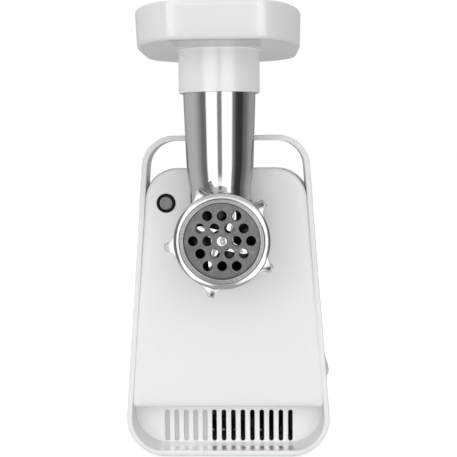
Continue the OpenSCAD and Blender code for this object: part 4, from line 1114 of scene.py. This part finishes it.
def make_auger():
    """The worm: a tapered core with one smooth flight round it."""
    low, high = span("auger")
    front, back = low.y, high.y
    turns, rim, half, steps = 2.3, 25.0, 2.0, 150
    profile = [(6.02, front), (8.2, front), (8.5, front + 0.3), (10, back - 8), (13.6, back - 0.4),
               (13.2, back), (6.02, back)]
    core = lathe_y("core", profile, steps=96)
    side = [(7, half), (rim - 1.2, half * 0.8), (rim - 0.3, half * 0.6), (rim, half * 0.3)]
    flat = side + [(u, -v) for u, v in reversed(side)]
    loops = []
    for k in range(steps + 1):
        turn = 2 * math.pi * turns * k / steps
        loops.append(in_xz([about_head(u, v, turn) for u, v in flat], back - (back - front) * k / steps))
    piece(join("worm", [core, loft("flight", loops)]), "output", "cast_metal", "auger")


def make_knife():
    """The four-armed knife."""
    low, high = span("knife")
    front, back = low.y, high.y
    flat = [(5, -5.8), (9, -5), (19, -2.4), (24.7, 0.8), (24.6, 3.4), (14, 2.4), (5, 2.8)]
    arm = prism_y("arm", [about_head(u, v, math.radians(62)) for u, v in flat], front, back)
    bevel(arm, 0.35, 2, 25)
    arms = round_head(arm, 4, "steel")
    profile = [(6.5, front), (8.7, front), (9, front + 0.3), (9, back - 0.3), (8.7, back), (6.5, back)]
    hub = lathe_y("hub", profile, steps=64)
    piece(join("knife_arms", [arms, hub]), "output", "steel", "knife", sharp=30)


# ---------------------------------------------------------------- controls and small pieces

def make_button():
    """The release button's cap and its black surround."""
    front, foot, stem_r, stem_end = button_low.y, -18.6, 3, -7.5
    r = (button_high.x - button_low.x) / 2
    cap = lathe_y("button_cap", [
        (0, front + 0.25), (r * 0.55, front + 0.15), (r - 1.2, front), (r - 0.5, front + 0.12),
        (r - 0.12, front + 0.5), (r, front + 1.1), (r, foot), (stem_r, foot), (stem_r, stem_end),
        (0, stem_end),
    ], BUTTON_X, BUTTON_Z, 64, closed=False)
    piece(cap, "button", "gray_plastic", "release_button")

    low, high = span("button_bezel")
    front = low.y
    inner, outer, sleeve_r, flange_back = r + 0.3, (high.x - low.x) / 2, 6.6, -30.05
    ring = lathe_y("button_surround", [
        (inner, front + 0.5), (inner + 0.2, front + 0.12), (inner + 0.6, front), (outer - 0.6, front),
        (outer - 0.15, front + 0.2), (outer, front + 0.6), (outer, flange_back), (sleeve_r, flange_back),
        (sleeve_r, -8), (3.3, -8), (3.3, -10), (inner, -10),
    ], BUTTON_X, BUTTON_Z, 64)
    towards = math.atan2(BUTTON_Z - HEAD_Z, BUTTON_X - HEAD_X)
    reach = math.hypot(BUTTON_Z - HEAD_Z, BUTTON_X - HEAD_X)

    def in_line(x, y, z):
        across, up = about_head(x, z, towards)
        return across, y, up

    # the latch arm leaves through a gate in the sleeve, on the side of the head
    gate = moved(block("cutter", (reach - 9, -27.3, -3.8), (reach - 1, GEARBOX_FRONT, 3.8)), in_line)
    cut(ring, gate)
    piece(ring, "housing", "black_plastic", "button_bezel")


def eased(node, name, body, slot, width, segments=3, cutter=None):
    """A copy of a CAD node with its edges eased."""
    def change(bm):
        bmesh.ops.dissolve_limit(bm, angle_limit=math.radians(1), verts=bm.verts, edges=bm.edges)
    made = add_object(name, frame["nodes"][node].data.copy())
    tidy(made)
    edit_mesh(made, change)
    bevel(made, width, segments)
    if cutter:
        cut(made, cutter)
    piece(made, body, slot, node)


def make_shaft():
    """The drive shaft, with the centre that it was turned on drilled in its front end."""
    front = span("auger_shaft")[0].y
    drill = lathe_y("cutter", [
        (0, front - 1), (1.7, front - 1), (1.5, front), (0.7, front + 1.1), (0.6, front + 2), (0, front + 2),
    ], steps=32, closed=False)
    eased("auger_shaft", "drive_shaft", "output", "steel", 0.45, cutter=drill)


make_camera()
make_world()
make_floor()
make_band()
make_cover()
make_grille()
make_rear()
make_tray()
make_barrel()
make_tube()
make_ring()
make_plate()
make_auger()
make_knife()
make_button()
make_shaft()
eased("rocker_switch", "rocker_cap", "rocker", "white_plastic", 0.5)
eased("switch_bezel", "switch_surround", "housing", "white_trim", 0.3)
eased("rubber_feet", "feet", "housing", "rubber", 0.5)
eased("cord_gland", "cord_entry", "housing", "gray_plastic", 0.4)
eased("case_screws", "shell_screws", "housing", "steel", 0.15, 2)
eased("base_plate", "under_plate", "housing", "white_trim", 0.4)

for entry in frame["record"]["subparts"]:
    paint_with(frame["nodes"][entry["node"]], entry["material_slot"])
